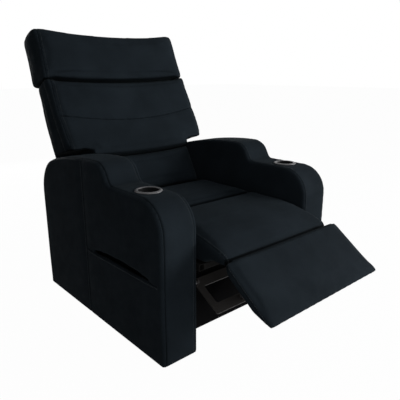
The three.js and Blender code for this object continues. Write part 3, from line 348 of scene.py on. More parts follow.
def stitched(name, runs, body):
    """Rows of thread: a small rounded bead for each stitch, half sunk in the leather."""
    bm = bmesh.new()
    for run in runs:
        carried = STITCH_PITCH / 2
        for (a, na), (b, nb) in zip(run, run[1:]):
            step = (b - a).length
            if step < 1e-7:
                continue
            along = (b - a) / step
            while carried < step:
                share = carried / step
                up = na.lerp(nb, share)
                up = (up - along * up.dot(along)).normalized()
                side = along.cross(up)
                turn = Matrix((along, side, up)).transposed().to_4x4()
                turn.translation = a.lerp(b, share) + up * THREAD * THREAD_RAISED
                half = THREAD * THREAD_HALF
                turn = turn @ Matrix.Diagonal((STITCH_LENGTH / 2, half, half, 1))
                bmesh.ops.create_icosphere(bm, subdivisions=1, radius=1, matrix=turn)
                carried += STITCH_PITCH
            carried -= step
    piece = new_piece(name, bm)
    set_material(piece, thread_material)
    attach(piece, body)
    return piece


class Finish(Mixture):
    """A mixture with the steps that the seat's finishes share."""

    def textures(self, **kinds):
        """Adds textures that lie in the object, given as name=(kind, settings)."""
        spot = self.add("ShaderNodeTexCoord").outputs["Object"]
        made = {name: self.add(kind, **values) for name, (kind, values) in kinds.items()}
        for texture in made.values():
            self.join(spot, texture.inputs["Vector"])
        return made

    def ranged(self, source, low, high, start=0.0, end=1.0):
        """Spreads the values from start to end over low to high."""
        spread = self.add("ShaderNodeMapRange", From_Min=start, From_Max=end, To_Min=low,
                          To_Max=high)
        self.join(source, spread.inputs["Value"])
        return spread.outputs[0]

    def bumped(self, height, strength, distance, below=None):
        """Raises the surface by a height, on top of the bumps below."""
        bump = self.add("ShaderNodeBump", Strength=strength, Distance=distance)
        self.join(height, bump.inputs["Height"])
        if below:
            self.join(below, bump.inputs["Normal"])
        return bump.outputs[0]

    def times(self, first, second):
        product = self.add("ShaderNodeMath", operation="MULTIPLY")
        self.join(first, product.inputs[0])
        self.join(second, product.inputs[1])
        return product.outputs[0]

    def tinted(self, tint, shade):
        """A colour times a shade that changes over the surface."""
        paint = self.add("ShaderNodeMix", data_type="RGBA", blend_type="MULTIPLY")
        share, first, second = paint.inputs[0], paint.inputs[6], paint.inputs[7]
        share.default_value = 1
        first.default_value = (*tint, 1)
        self.join(shade, second)
        return paint.outputs[2]

    def end(self, surface, colour, roughness, normal):
        self.join(colour, surface.inputs["Base Color"])
        self.join(roughness, surface.inputs["Roughness"])
        self.join(normal, surface.inputs["Normal"])
        output = self.add("ShaderNodeOutputMaterial")
        self.join(surface.outputs[0], output.inputs["Surface"])


NOISE = "ShaderNodeTexNoise"
MID_NOISE = (0.3, 0.7)  # between these lies nearly all of a noise


def leather_material(name, tint, rough):
    """Fine-grained matte leather: pebbles with dark pits between them, pores, soft creases and
    cloudy wear. The seam attribute darkens it as painted shade and dust in the groove of each
    seam, and as painted shade in the gaps and inside the pockets."""
    made, finish = blank_material(name, Finish)
    skin = finish.add("ShaderNodeBsdfPrincipled", Specular_IOR_Level=0.012,
                      Specular_Tint=(0.72, 0.93, 1.0, 1), Sheen_Weight=0.006,
                      Sheen_Roughness=0.45, Sheen_Tint=(0.75, 0.92, 1.0, 1))
    made_of = finish.textures(
        grain=("ShaderNodeTexVoronoi", dict(feature="DISTANCE_TO_EDGE", Scale=620)),
        pore=(NOISE, dict(Scale=1500)),
        crease=(NOISE, dict(Scale=34, Detail=6)),
        cloud=(NOISE, dict(Scale=7, Detail=4)),
    )
    crease = made_of["crease"].outputs["Fac"]
    pebble = finish.ranged(made_of["grain"].outputs["Distance"], 0, 1, 0, 0.22)
    relief = finish.bumped(pebble, 0.35, 0.0004)
    relief = finish.bumped(made_of["pore"].outputs["Fac"], 0.12, 0.0002, relief)
    relief = finish.bumped(crease, 0.12, 0.004, relief)
    cloudy = finish.ranged(made_of["cloud"].outputs["Fac"], 0.82, 1.18, *MID_NOISE)
    pitted = finish.ranged(pebble, 0.72, 1.0)
    # painted shade and dust: the seam attribute takes the base colour down to 0.18 in seam grooves,
    # and painted shade does so in gaps and pockets
    seam = finish.add("ShaderNodeAttribute", attribute_name="seam")
    dark = finish.ranged(seam.outputs["Fac"], 1.0, 0.18)
    colour = finish.tinted(tint, finish.times(finish.times(cloudy, pitted), dark))
    worn = finish.ranged(crease, rough - 0.07, rough + 0.07, *MID_NOISE)
    finish.end(skin, colour, worn, relief)
    return made


def plain_material(name, tint, rough, metal=0.0, scale=400, bump=0.0002, spread=0.15, spec=0.5):
    """A finish with a fine tooth and a little change of shade, for thread, plastic, paint, wood
    or steel."""
    made, finish = blank_material(name, Finish)
    body = finish.add("ShaderNodeBsdfPrincipled", Metallic=metal, Specular_IOR_Level=spec)
    made_of = finish.textures(
        tooth=(NOISE, dict(Scale=scale, Detail=3)),
        cloud=(NOISE, dict(Scale=18)),
    )
    cloud = made_of["cloud"].outputs["Fac"]
    relief = finish.bumped(made_of["tooth"].outputs["Fac"], 0.5, bump)
    colour = finish.tinted(tint, finish.ranged(cloud, 1 - spread, 1 + spread))
    finish.end(body, colour, finish.ranged(cloud, rough - 0.08, rough + 0.08), relief)
    return made


black_leather = leather_material("black_leather", (0.0064, 0.0087, 0.011), 0.84)
thread_material = plain_material("black_thread", (0.014, 0.018, 0.02), 0.6, scale=2200, spec=0.3)


def in_cup(co):
    across = (co.x - CUP_X) ** 2 + (co.y - CUP_Y) ** 2
    return across < CUP_CLEAR ** 2 and TRAY - 0.1 < co.z < TRAY + 0.01


def in_pocket(co):
    (front, rear), (low, high) = POCKET_CLEAR
    return (POCKET_DEPTH[0] - 0.003 < co.x < ARM_OUTER - 0.006
            and front < co.y < rear and low < co.z < high)


def on_outer_rim(co, no):
    return (abs(no.x) < 0.75 and co.z > ARM_HEM and co.x > OUTER_PART
            and not in_cup(co) and not in_pocket(co))


def on_inner_rim(co, no):
    return abs(no.x) < 0.75 and co.z > ARM_HEM and not in_cup(co) and co.x < INNER_PART


def on_outer_side(co, no):
    return no.x > 0.3 and co.x > OUTER_PART


def at_pocket_mouth(co, no):
    return on_outer_side(co, no) and -0.378 < co.y < 0.109


def arm_block(name):
    """The arm in side view with its thickness and its rounded rims."""
    bm = outline(ARM_CORNERS, ARM_INNER)
    thicken(bm, (ARM_OUTER - ARM_INNER, 0, 0))
    rims = [e for e in bm.edges if any(abs(f.normal.x) > 0.99 for f in e.link_faces)
            and any(abs(f.normal.x) < 0.5 for f in e.link_faces)
            and max(v.co.z for v in e.verts) > ARM_HEM]
    bmesh.ops.bevel(bm, geom=rims, offset=ARM_RIM, segments=ARM_RIM_STEPS, profile=0.5,
                    affect="EDGES", material=-1, clamp_overlap=True)
    return new_piece(name, bm)


def hollow_arm(piece):
    """Bores the cup's hole and cuts the pocket's mouth and room."""
    bm = bmesh.new()
    tall = 0.2
    bore = Matrix.Translation((CUP_X, CUP_Y, TRAY - CUP_DEEP + tall / 2))
    bmesh.ops.create_cone(bm, cap_ends=True, segments=ROUND_STEPS, radius1=CUP_BORE,
                          radius2=CUP_BORE, depth=tall, matrix=bore)
    cut_away(piece, "cup_bore", bm)
    bm = outline(POCKET_MOUTH, POCKET_DEPTH[0])
    thicken(bm, (TOOL_REACH, 0, 0))
    cut_away(piece, "pocket_mouth", bm)
    bm = bmesh.new()
    bmesh.ops.create_cube(bm, size=1)
    bmesh.ops.scale(bm, vec=(POCKET_DEPTH[1] - POCKET_DEPTH[0], *POCKET_SIZE), verts=bm.verts)
    bmesh.ops.translate(bm, vec=(sum(POCKET_DEPTH) / 2, *POCKET_MIDDLE), verts=bm.verts)
    cut_away(piece, "pocket_room", bm)


def crown_panels(bm):
    """Lets the outer side's two panels stand proud between their seams."""
    for vert in bm.verts:
        co = vert.co
        if vert.normal.x > 0.7 and co.x > ARM_OUTER - 0.01:
            up = min(1, max(0, co.z - PANEL_LOW) / PANEL_FADE)
            along = min(1, max(0, (PANEL_HALF - abs(co.y - PANEL_MIDDLE)) / PANEL_FADE))
            panel = 1 - math.exp(-(((co.y - ARM_SEAM) / PANEL_DIP) ** 2))
            co.x += PANEL_CROWN * (up * along) * panel


def sew_arm(bm):
    """Seams round the arm's rim on both sides, one down the outer side behind the pocket, and the
    crease that the pocket's mouth runs out into, with its stitched hem."""
    runs = sew(bm, (ARM_OUTER - RIM_SEAM, 0, 0), (-1, 0, 0), on_outer_rim)
    runs += sew(bm, (ARM_INNER + RIM_SEAM, 0, 0), (1, 0, 0), on_inner_rim)
    runs += sew(bm, (0, ARM_SEAM, 0), (0, 1, 0), on_outer_side, depth=0.0016, soft=0.0006)
    runs += sew(bm, (0, POCKET_MIDDLE[0], POCKET_SEAM), (0, -POCKET_SLOPE, -1),
                at_pocket_mouth, depth=0.006, gap=0.004, thread=0.009)
    # painted shade: the leather inside the pocket is darkened through the seam attribute
    shade = painted_shade_and_dust_layer(bm)
    for vert in bm.verts:
        if in_pocket(vert.co):
            vert[shade] = 1.0
    return runs


def smooth_leather(piece, bm):
    """Writes a sewn skin back into its piece and gives it the leather."""
    bm.to_mesh(piece.data)
    bm.free()
    piece.data.polygons.foreach_set("use_smooth", [True] * len(piece.data.polygons))
    set_material(piece, black_leather)


def opened(piece):
    bm = bmesh.new()
    bm.from_mesh(piece.data)
    return bm


for side, sign in ARMS:
    piece = arm_block(f"arm_{side}")
    hollow_arm(piece)
    remeshed(piece, ARM_VOXEL)
    bm = opened(piece)
    relaxed(bm)
    crown_panels(bm)
    runs = sew_arm(bm)
    bmesh.ops.scale(bm, vec=(sign, 1, 1), verts=bm.verts)
    if sign < 0:
        bmesh.ops.reverse_faces(bm, faces=bm.faces[:])
    smooth_leather(piece, bm)
    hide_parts(f"arm_upholstery_{side}")
    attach(piece, "base")
    flip = Vector((sign, 1, 1))
    runs = [[(co * flip, no * flip) for co, no in run] for run in runs]
    stitched(f"arm_stitches_{side}", runs, "base")


# Drop-in cup holders: a spun grey rim that rests on the tray, over a black cup with a step in it.
# Each is one profile turned about the cup's own axis.
RIM_PROFILE = (  # radius and height above the tray
    (0.0402, 0.0003), (0.0488, 0.0003), (0.05, 0.0012), (0.0498, 0.0024), (0.0488, 0.0036),
    (0.046, 0.0052), (0.0425, 0.006), (0.0395, 0.0056), (0.0378, 0.0042), (0.0372, 0.002),
)
CUP_PROFILE = (
    (0.0374, 0.0035), (0.0366, 0.0042), (0.0358, 0.0036), (0.0352, 0.0018), (0.0345, -0.03),
    (0.0325, -0.034), (0.0322, -0.074), (0.0305, -0.0785), (0.001, -0.079), (0.001, -0.0818),
    (0.0345, -0.0818), (0.038, -0.0785), (0.038, 0.0), (0.0376, 0.0002),
)
rim_material = plain_material("grey_rim", (0.031, 0.0305, 0.0325), 0.42, metal=0.3, scale=900,
                              bump=0.00005)
cup_material = plain_material("cup_black", (0.0015, 0.0016, 0.0018), 0.6, scale=900,
                              bump=0.0001, spec=0.04)


def spun(name, profile, centre):
    """Turns a profile of radius and height about an upright axis into a closed shell."""
    bm = bmesh.new()
    ring = [bm.verts.new((centre[0] + r, centre[1], centre[2] + z)) for r, z in profile]
    edges = [bm.edges.new(pair) for pair in zip(ring, ring[1:] + ring[:1])]
    bmesh.ops.spin(bm, geom=ring + edges, cent=centre, axis=(0, 0, 1), angle=math.tau,
                   steps=ROUND_STEPS, use_merge=True)
    bmesh.ops.remove_doubles(bm, verts=bm.verts, dist=1e-6)
    bmesh.ops.recalc_face_normals(bm, faces=bm.faces[:])
    return new_piece(name, bm)


for side, sign in ARMS:
    centre = (sign * CUP_X, CUP_Y, TRAY)
    rim = spun(f"cup_rim_{side}", RIM_PROFILE, centre)
    set_material(rim, rim_material)
    cup = spun(f"cup_{side}", CUP_PROFILE, centre)
    set_material(cup, cup_material)
    for piece in (rim, cup):
        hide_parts(f"cup_holder_{side}")
        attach(piece, "base")


# The hidden structure keeps the CAD solids: timber arm frames, glides, steel plates, tubes and
# springs, boards, hinges, links and actuators. Each gets the finish such a part has.
steel_material = plain_material("black_paint", (0.004, 0.0039, 0.0038), 0.6, scale=1400,
                                bump=0.00012, spec=0.06)
coat_material = plain_material("brown_powder_coat", (0.018, 0.0168, 0.0162), 0.5, metal=0.1,
                               scale=1400, bump=0.00012, spec=0.12)
zinc_material = plain_material("zinc", (0.12, 0.12, 0.125), 0.4, metal=0.9, scale=700,
                               bump=0.00005)
timber_material = plain_material("bare_timber", (0.38, 0.24, 0.12), 0.75, scale=160,
                                 bump=0.0004, spread=0.3)
board_material = plain_material("black_board_cloth", (0.003, 0.003, 0.0032), 0.9, scale=1200,
                                bump=0.0003, spec=0.0)
plastic_material = plain_material("black_moulding", (0.009, 0.009, 0.01), 0.45, scale=1600,
                                  bump=0.0001, spec=0.4)
FINISHES = (  # how the names start; a name takes the first finish that fits it
    (("arm_frame",), timber_material),
    (("front_glide", "rear_glide", "control_box", "power_inlet", "switch"), plastic_material),
    (("kick_panel", "rear_rail", "footrest_board"), board_material),
    (("seat_spring", "footrest_pin", "push_frame_pin", "back_pin", "footrest_actuator_rod",
      "back_actuator_rod"), zinc_material),
    (("footrest_arm", "footrest_stay", "push_frame"), coat_material),
    (("side_plate", "front_cross", "middle_cross", "rear_cross", "seat_rail", "footrest_bracket",
      "back_upright", "back_cross", "footrest_actuator", "back_actuator"), steel_material),
)
finished = set()
for starts, material in FINISHES:
    for name, node in nodes.items():
        if name not in finished and name.startswith(starts):
            set_material(node, material)
            finished.add(name)


# Fasteners: zinc-plated hex bolts with washers that hold the side plates to the arms' timber,
# push-on caps on the stays' studs, the control box's screws, and the staples that hold the dark
# cloth round the rear board's edge.
PLATE_FACE = 0.2952
BOLTS = [(y, z) for z in (0.178, 0.312) for y in (-0.245, -0.14, 0.037, 0.165)]
WASHER, BOLT_HEAD = (0.011, 0.0015), (0.0075, 0.005)  # radius and height
STUD_END, STUD_PLACE, STUD_CAP = 0.1246, (-0.453, 0.191), (0.0085, 0.0026)
BOX_FACE, SCREW_HEAD = 0.4307, (0.0032, 0.0016)
BOX_SCREWS = [(x, z) for x in (-0.2035, -0.098) for z in (0.1452, 0.1948)]
REAR_FACE = 0.481
STAPLE_PITCH, STAPLE_LONG, STAPLE_WIRE, STAPLE_PROUD = 0.04, 0.01, 0.0012, 0.0008
STAPLE_ROW, STAPLE_SIDE, STAPLE_FIRST = 0.052, 0.288, 0.08
STAPLES = [(step * STAPLE_PITCH, STAPLE_ROW, STAPLE_LONG, STAPLE_WIRE) for step in range(-7, 8)]
STAPLES += [(sign * STAPLE_SIDE, STAPLE_FIRST + step * STAPLE_PITCH, STAPLE_WIRE, STAPLE_LONG)
            for _, sign in ARMS for step in range(7)]


def facing(centre, axis):
    """Turns something made along +Z to face along an axis from a point."""
    return Matrix.Translation(centre) @ Vector(axis).to_track_quat("Z", "X").to_matrix().to_4x4()


def eased(bm, made, rounding, steps=2):
    """Rounds every edge of what was just added."""
    rims = {e for v in made["verts"] for e in v.link_edges}
    bmesh.ops.bevel(bm, geom=list(rims), offset=rounding, segments=steps, profile=0.5,
                    affect="EDGES", material=-1)


def disc(bm, spot, low, radius, depth, sides=32, rounding=0.0005):
    """A short cylinder or prism standing on a face, with its edges rounded."""
    spot = spot @ Matrix.Translation((0, 0, low + depth / 2))
    made = bmesh.ops.create_cone(bm, cap_ends=True, segments=sides, radius1=radius,
                                 radius2=radius, depth=depth, matrix=spot)
    eased(bm, made, rounding)


def fitting(name, bm, body, material):
    piece = new_piece(name, bm, smooth=False)
    set_material(piece, material)
    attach(piece, body)


for side, sign in ARMS:
    bm = bmesh.new()
    for y, z in BOLTS:
        spot = facing((sign * PLATE_FACE, y, z), (-sign, 0, 0))
        disc(bm, spot, 0, *WASHER)
        disc(bm, spot, WASHER[1], *BOLT_HEAD, sides=6)
    fitting(f"frame_bolts_{side}", bm, "base", zinc_material)
    bm = bmesh.new()
    spot = facing((sign * STUD_END, *STUD_PLACE), (sign, 0, 0))
    disc(bm, spot, 0, *STUD_CAP, rounding=0.001)
    fitting(f"stud_cap_{side}", bm, "footrest_stays", zinc_material)

bm = bmesh.new()
for x, z in BOX_SCREWS:
    disc(bm, facing((x, BOX_FACE, z), (0, -1, 0)), 0, *SCREW_HEAD)
fitting("box_screws", bm, "base", zinc_material)

bm = bmesh.new()
for x, z, wide, high in STAPLES:
    spot = Matrix.Translation((x, REAR_FACE + 0.0003, z))
    spot = spot @ Matrix.Diagonal((wide, STAPLE_PROUD, high, 1))
    eased(bm, bmesh.ops.create_cube(bm, size=1, matrix=spot), 0.0002, steps=1)
fitting("rear_board_staples", bm, "base", zinc_material)


# Raised arrows on the switch's two push buttons: a bevelled triangle each, moulded in the grey
# of the cup rims. One points up to open the seat and one points down to close it.
ARROW_FACE, ARROW = (-0.29615, -0.169), (0.0042, 0.0006)
for name, height, turn in (("open", 0.548, 0), ("close", 0.524, 180)):
    bm = bmesh.new()
    spot = facing((*ARROW_FACE, height), (1, 0, 0))
    spot = spot @ Matrix.Rotation(math.radians(turn), 4, "Z")
    disc(bm, spot, 0, *ARROW, sides=3, rounding=0.0002)
    fitting(f"button_arrow_{name}", bm, f"button_{name}", rim_material)


# The dust cover: a black cloth stretched under the frame from the kick panel to the rear board,
# stapled round its edge. It closes the seat from below and hangs a little in the middle.
COVER_HALF, COVER_MIDDLE = (0.2995, 0.3665), 0.095
COVER_HEIGHT, COVER_SAG, COVER_CLOTH = 0.05, 0.008, 0.001
bm = bmesh.new()
bmesh.ops.create_grid(bm, x_segments=24, y_segments=28, size=1)
for vert in bm.verts:
    vert.co.z = COVER_HEIGHT - COVER_SAG * (1 - vert.co.x ** 2) * (1 - vert.co.y ** 2)
bmesh.ops.scale(bm, vec=(*COVER_HALF, 1), verts=bm.verts)
bmesh.ops.translate(bm, vec=(0, COVER_MIDDLE, 0), verts=bm.verts)
cover = new_piece("dust_cover", bm)
walls = cover.modifiers.new("cloth_thickness", "SOLIDIFY")
walls.thickness = COVER_CLOTH
baked(cover)
set_material(cover, board_material)
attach(cover, "base")


# The seat: a rear cushion and a front pad that meet at a seam and lie on the springs. Each is a
# foam block in a leather cover, blown up a little as stuffing does and then sewn along its edges.
SKIN_INSET = 0.0015
SKIN_EVENING = (5, 2)  # rounds before and after the rise is limited
SKIN_CLOSE = 0.0015  # the most the skin rises towards a neighbour
CLOTH_FRAMES, CLOTH_PRESSURE, CLOTH_STIFF, CLOTH_BEND = 20, 4.0, 12, 0.6
GAP_EDGE = 2.5  # how fast painted shade darkens the leather as it turns into a gap
SEAT_TACKED, SEAT_SEAM = 0.3665, 0.279
PAD_LIP, PAD_LOW, PAD_SEAM = -0.44, 0.405, 0.28


def foam(name, node, voxel, inset=SKIN_INSET):
    """A fine, even skin over the CAD cushion's form, drawn in a little to leave room to swell."""
    bm = opened(nodes[node])
    bmesh.ops.remove_doubles(bm, verts=bm.verts, dist=1e-5)
    piece = remeshed(new_piece(name, bm), voxel)
    bm = opened(piece)
    relaxed(bm)
    bm.normal_update()
    for vert in bm.verts:
        vert.co -= vert.normal * inset
    bm.to_mesh(piece.data)
    bm.free()
    return piece


def evened(rise, edges, rounds):
    """Spreads each point's rise to its neighbours."""
    for _ in range(rounds):
        total, count = rise[:], [1] * len(rise)
        for a, b in edges:
            total[a] += rise[b]
            total[b] += rise[a]
            count[a] += 1
            count[b] += 1
        rise = [t / c for t, c in zip(total, count)]
    return rise


def plumped(piece, held, cap, tight):
    """Blows the skin up as cloth. held picks what is tacked down, cap is the most the skin rises,
    and across tight, where a neighbour lies close, it rises less."""
    mesh = piece.data
    before = [(v.co.copy(), v.normal.copy()) for v in mesh.vertices]
    edges = [tuple(e.vertices) for e in mesh.edges]
    firm = piece.vertex_groups.new(name="held")
    firm.add([i for i, (co, _) in enumerate(before) if held(co)], 1, "REPLACE")
    cloth = piece.modifiers.new("cloth", "CLOTH")
    cloth.settings.use_pressure = True
    cloth.settings.uniform_pressure_force = CLOTH_PRESSURE
    cloth.settings.vertex_group_mass = "held"
    cloth.settings.tension_stiffness = CLOTH_STIFF
    cloth.settings.compression_stiffness = CLOTH_STIFF
    cloth.settings.bending_stiffness = CLOTH_BEND
    cloth.settings.effector_weights.gravity = 0
    cloth.settings.quality = 4
    cloth.collision_settings.use_collision = False
    cloth.point_cache.frame_start = 1
    cloth.point_cache.frame_end = CLOTH_FRAMES
    for step in range(1, CLOTH_FRAMES + 1):
        scene.frame_set(step)
    baked(piece)
    scene.frame_set(1)
    verts = piece.data.vertices
    rise = [(v.co - co).dot(normal) for v, (co, normal) in zip(verts, before)]
    rise = evened(rise, edges, SKIN_EVENING[0])
    rise = [min(max(up, 0), cap + (SKIN_CLOSE - cap) * abs(normal.dot(Vector(tight))))
            for up, (_, normal) in zip(rise, before)]
    rise = evened(rise, edges, SKIN_EVENING[1])
    for vert, up, (co, normal) in zip(verts, rise, before):
        vert.co = co + normal * up
    piece.vertex_groups.clear()
    return piece


def fined(piece):
    """One subdivision, for a smooth skin."""
    finer = piece.modifiers.new("finer", "SUBSURF")
    finer.levels = finer.render_levels = 1
    return baked(piece)


def swollen(name, node, held, voxel, cap, tight):
    """A cushion's skin, blown up and made fine, and its bmesh for the sewing."""
    piece = fined(plumped(foam(name, node, voxel), held, cap, tight))
    return piece, opened(piece)


def sew_pair(bm, across, where, **kind):
    """The same seam on both sides, this far from the middle."""
    runs = []
    for _, sign in ARMS:
        runs += sew(bm, (sign * across, 0, 0), (-sign, 0, 0), where, **kind)
    return runs


def closed(piece, bm, node, body, painted_shade_in_gaps=None):
    bm.normal_update()
    shade = painted_shade_and_dust_layer(bm)
    # painted shade: leather that turns into a gap between parts is darkened through the seam
    # attribute
    if painted_shade_in_gaps:
        for vert in bm.verts:
            vert[shade] = max(vert[shade], min(1, max(0, painted_shade_in_gaps(vert.co, vert.normal))))
    smooth_leather(piece, bm)
    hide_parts(node)
    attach(piece, body)


def pad_gap_painted_shade(co, no):
    """How much shade is painted where the front pad faces its neighbours: the rear cushion, or the
    footrest below.
    """
    return GAP_EDGE * (no.y if no.y > 0 else -no.y * (co.z < PAD_LOW)) - 1


seat, bm = swollen("rear_seat_cushion", "seat_cushion", lambda co: co.z < SEAT_TACKED,
                   voxel=0.007, cap=0.006, tight=(0, 1, 0))
runs = sew_pair(bm, SEAT_SEAM, lambda co, no: no.z > 0.2)
# painted shade where the rear cushion turns towards the front pad or the back
closed(seat, bm, "seat_cushion", "base", lambda co, no: GAP_EDGE * abs(no.y) - 1)
stitched("rear_seat_stitches", runs, "base")

pad, bm = swollen("front_seat_pad", "front_pad",
                  lambda co: co.z < SEAT_TACKED and co.y > PAD_LIP,
                  voxel=0.007, cap=0.006, tight=(0, 1, 0))
runs = sew_pair(bm, PAD_SEAM, lambda co, no: no.z > 0.2 or no.y < -0.5)
closed(pad, bm, "front_pad", "base", pad_gap_painted_shade)
stitched("front_pad_stitches", runs, "base")


# The footrest: a padded board on two steel arms. The cover is pulled tight over the board and
# tacked under it, with a seam all round near its lower edge.
FOOT_HINGE = Vector((0, -0.467, 0.36))
FOOT_SLOPE = math.radians(36.2)
FOOT_FACE = Vector((0, -math.sin(FOOT_SLOPE), math.cos(FOOT_SLOPE)))
FOOT_NEAR = Vector((0, math.cos(FOOT_SLOPE), math.sin(FOOT_SLOPE)))
FOOT_TACKED, FOOT_SEAM = 0.066, 0.083  # from the hinge out along the face

footrest, bm = swollen("footrest_pad", "footrest_cushion",
                       lambda co: (co - FOOT_HINGE).dot(FOOT_FACE) < FOOT_TACKED,
                       voxel=0.006, cap=0.005, tight=(0, 0, 0))
runs = sew(bm, FOOT_HINGE + FOOT_FACE * FOOT_SEAM, FOOT_FACE,
           lambda co, no: abs(no.dot(FOOT_FACE)) < 0.6, thread=0.005)
# painted shade where the footrest's leather turns back towards the seat
closed(footrest, bm, "footrest_cushion", "footrest",
       lambda co, no: 3 * no.dot(FOOT_NEAR) - 1)
stitched("footrest_stitches", runs, "footrest")


# The back: lumbar cushion, middle cushion with its wings, and the headrest pillow, each sewn with
# a boxed side panel. A leather panel closes the back's rear. Places are given from the back's
# hinge, up along the back and out of it towards the sitter.
BACK_HINGE = Vector((0, 0.295, 0.42))
LEAN = math.radians(21)
BACK_UP = Vector((0, math.sin(LEAN), math.cos(LEAN)))
BACK_OUT = Vector((0, -math.cos(LEAN), math.sin(LEAN)))
LUMBAR_TACKED, LUMBAR_SEAM = -0.07, 0.266
MIDDLE_TACKED, MIDDLE_HALF, MIDDLE_HEIGHT = -0.1, 0.392, 0.42
MIDDLE_SEAM, MIDDLE_SWELL, MIDDLE_REACH = 0.376, 0.008, 0.17
FOLD_HEIGHT, FOLD_HALF, FOLD_BOW = 0.376, 0.384, 0.046
MIDDLE_LOW, MIDDLE_SIDE_OUT, MIDDLE_SIDE_TURN = 0.25, -0.03, 0.14
PILLOW_TACKED, PILLOW_SEAM, PILLOW_REAR_SEAM = -0.16, 0.381, -0.15
PILLOW_HEIGHT, PILLOW_HALF_TALL, PILLOW_BOW, PILLOW_LOW = 0.727, 0.12, 0.005, 0.7
REAR_SEAMS, REAR_SEAM_LOW, REAR_CROSS_SEAM = (0.368, 0.262), 0.24, 0.3
LUMBAR_CORNERS = (  # corner, push and reach, each across, up the back and out of it
    ((0.266, 0.197, -0.03), (0.002, 0.007, 0), (0.025, 0.03, 0.12)),
)
MIDDLE_CORNERS = (
    ((0.386, 0.585, -0.013), (0.007, 0.011, 0), (0.03, 0.035, 0.14)),
    ((0.35, 0.262, 0.025), (0, -0.01, 0), (0.055, 0.055, 0.055)),
    ((0.285, 0.262, 0.03), (0, -0.012, 0), (0.025, 0.025, 0.025)),
    ((0.398, 0.262, 0.035), (-0.006, 0.004, -0.003), (0.018, 0.018, 0.018)),
)
PILLOW_CORNERS = (
    ((0.386, 0.832, -0.1), (0.006, 0.011, 0), (0.1, 0.1, 0.1)),
    ((0.386, 0.832, -0.03), (0.003, 0, -0.008), (0.05, 0.05, 0.05)),
    ((0.392, 0.621, -0.03), (0.004, -0.011, 0), (0.03, 0.035, 0.14)),
)


def up_back(co):
    return (co - BACK_HINGE).dot(BACK_UP)


def out_back(co):
    return (co - BACK_HINGE).dot(BACK_OUT)


# how much shade is painted where the back's leather turns up or down into the gap to a neighbour
def back_gap_painted_shade(co, no):
    return GAP_EDGE * abs(no.dot(BACK_UP)) - 1.2


def at_rear(co, no):
    return no.dot(BACK_OUT) < -0.7


def drawn_out(bm, corners):
    """Fills a cushion's corners, alike on both sides. What lies within a corner's reach moves
    along with it, less and less with distance."""
    for corner, push, reach in corners:
        for vert in bm.verts:
            side = -1 if vert.co.x < 0 else 1
            spot = (abs(vert.co.x), up_back(vert.co), out_back(vert.co))
            share = math.exp(-sum(((at - to) / far) ** 2
                                  for at, to, far in zip(spot, corner, reach)))
            move = Vector((side * push[0], 0, 0)) + BACK_UP * push[1] + BACK_OUT * push[2]
            vert.co += move * share


lumbar, bm = swollen("lumbar", "lumbar_cushion", lambda co: out_back(co) < LUMBAR_TACKED,
                     voxel=0.006, cap=0.007, tight=BACK_UP)
drawn_out(bm, LUMBAR_CORNERS)
runs = sew_pair(bm, LUMBAR_SEAM, lambda co, no: no.dot(BACK_OUT) > 0.3)
# painted shade, at 0.4 strength, in the gaps above and below the lumbar cushion
closed(lumbar, bm, "lumbar_cushion", "back", lambda co, no: 0.4 * back_gap_painted_shade(co, no))
stitched("lumbar_stitches", runs, "back")

middle, bm = swollen("middle_back", "middle_back_cushion",
                     lambda co: out_back(co) < MIDDLE_TACKED,
                     voxel=0.007, cap=0.007, tight=BACK_UP)
drawn_out(bm, MIDDLE_CORNERS)
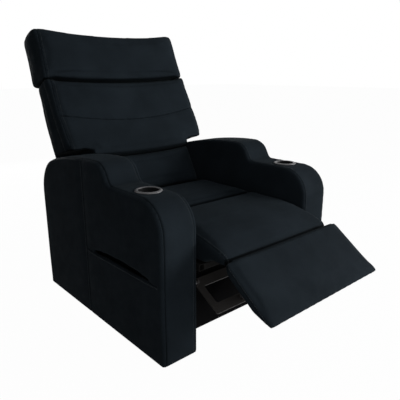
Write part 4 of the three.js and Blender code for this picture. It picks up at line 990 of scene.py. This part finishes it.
# a fold without stitches crosses the front and bows up towards the sides
runs = sew(bm, BACK_HINGE + BACK_UP * FOLD_HEIGHT, BACK_UP,
           lambda co, no: no.dot(BACK_OUT) > 0.3 and abs(co.x) < FOLD_HALF,
           bow=lambda co: FOLD_BOW * (co.x / MIDDLE_HALF) ** 2,
           depth=0.004, gap=0.005, thread=0)
for _, sign in ARMS:
    # the side panel's front seam swells with the cushion's side, and one more runs up that side
    runs += sew(bm, (sign * MIDDLE_SEAM, 0, 0), (-sign, 0, 0),
                lambda co, no: (no.dot(BACK_OUT) > 0.2 and up_back(co) > 0.2
                                and co.x * sign > 0.25),
                bow=lambda co: (-MIDDLE_SWELL
                                * (1 - ((up_back(co) - MIDDLE_HEIGHT) / MIDDLE_REACH) ** 2)),
                gap=0.004, thread=0.013)
    runs += sew(bm, BACK_HINGE + BACK_OUT * MIDDLE_SIDE_OUT, BACK_OUT,
                lambda co, no: no.x * sign > 0.5 and abs(co.x) > 0.33,
                bow=lambda co: -MIDDLE_SIDE_TURN * (up_back(co) - MIDDLE_HEIGHT))
# painted shade in the gaps above and below the middle cushion, weaker along its low edge by the
# lumbar
closed(middle, bm, "middle_back_cushion", "back",
       lambda co, no: back_gap_painted_shade(co, no) * (1 if up_back(co) > MIDDLE_LOW else 0.4))
stitched("middle_back_stitches", runs, "back")

pillow, bm = swollen("head_pillow", "headrest", lambda co: out_back(co) < PILLOW_TACKED,
                     voxel=0.007, cap=0.007, tight=BACK_UP)
drawn_out(bm, PILLOW_CORNERS)
runs = sew_pair(bm, PILLOW_SEAM, lambda co, no: abs(no.x) < 0.8,
                bow=lambda co: PILLOW_BOW * (up_back(co) - PILLOW_HEIGHT) / PILLOW_HALF_TALL,
                gap=0.004, thread=0.011)
runs += sew(bm, BACK_HINGE + BACK_OUT * PILLOW_REAR_SEAM, BACK_OUT,
            lambda co, no: abs(no.dot(BACK_OUT)) < 0.5)
# painted shade, stronger, on the pillow's underside above the middle cushion
closed(pillow, bm, "headrest", "back",
       lambda co, no: back_gap_painted_shade(co, no) + 0.3 if up_back(co) < PILLOW_LOW else 0)
stitched("head_pillow_stitches", runs, "back")

panel = foam("rear_panel", "outer_back", 0.005, inset=0)
bm = opened(panel)
runs = []
for _, sign in ARMS:
    runs += sew(bm, (sign * REAR_SEAMS[0], 0, 0), (-sign, 0, 0),
                lambda co, no: at_rear(co, no) and up_back(co) > REAR_SEAM_LOW)
    runs += sew(bm, (sign * REAR_SEAMS[1], 0, 0), (-sign, 0, 0), at_rear)
runs += sew(bm, BACK_HINGE + BACK_UP * REAR_CROSS_SEAM, BACK_UP, at_rear)
closed(panel, bm, "outer_back", "back")
stitched("rear_panel_stitches", runs, "back")
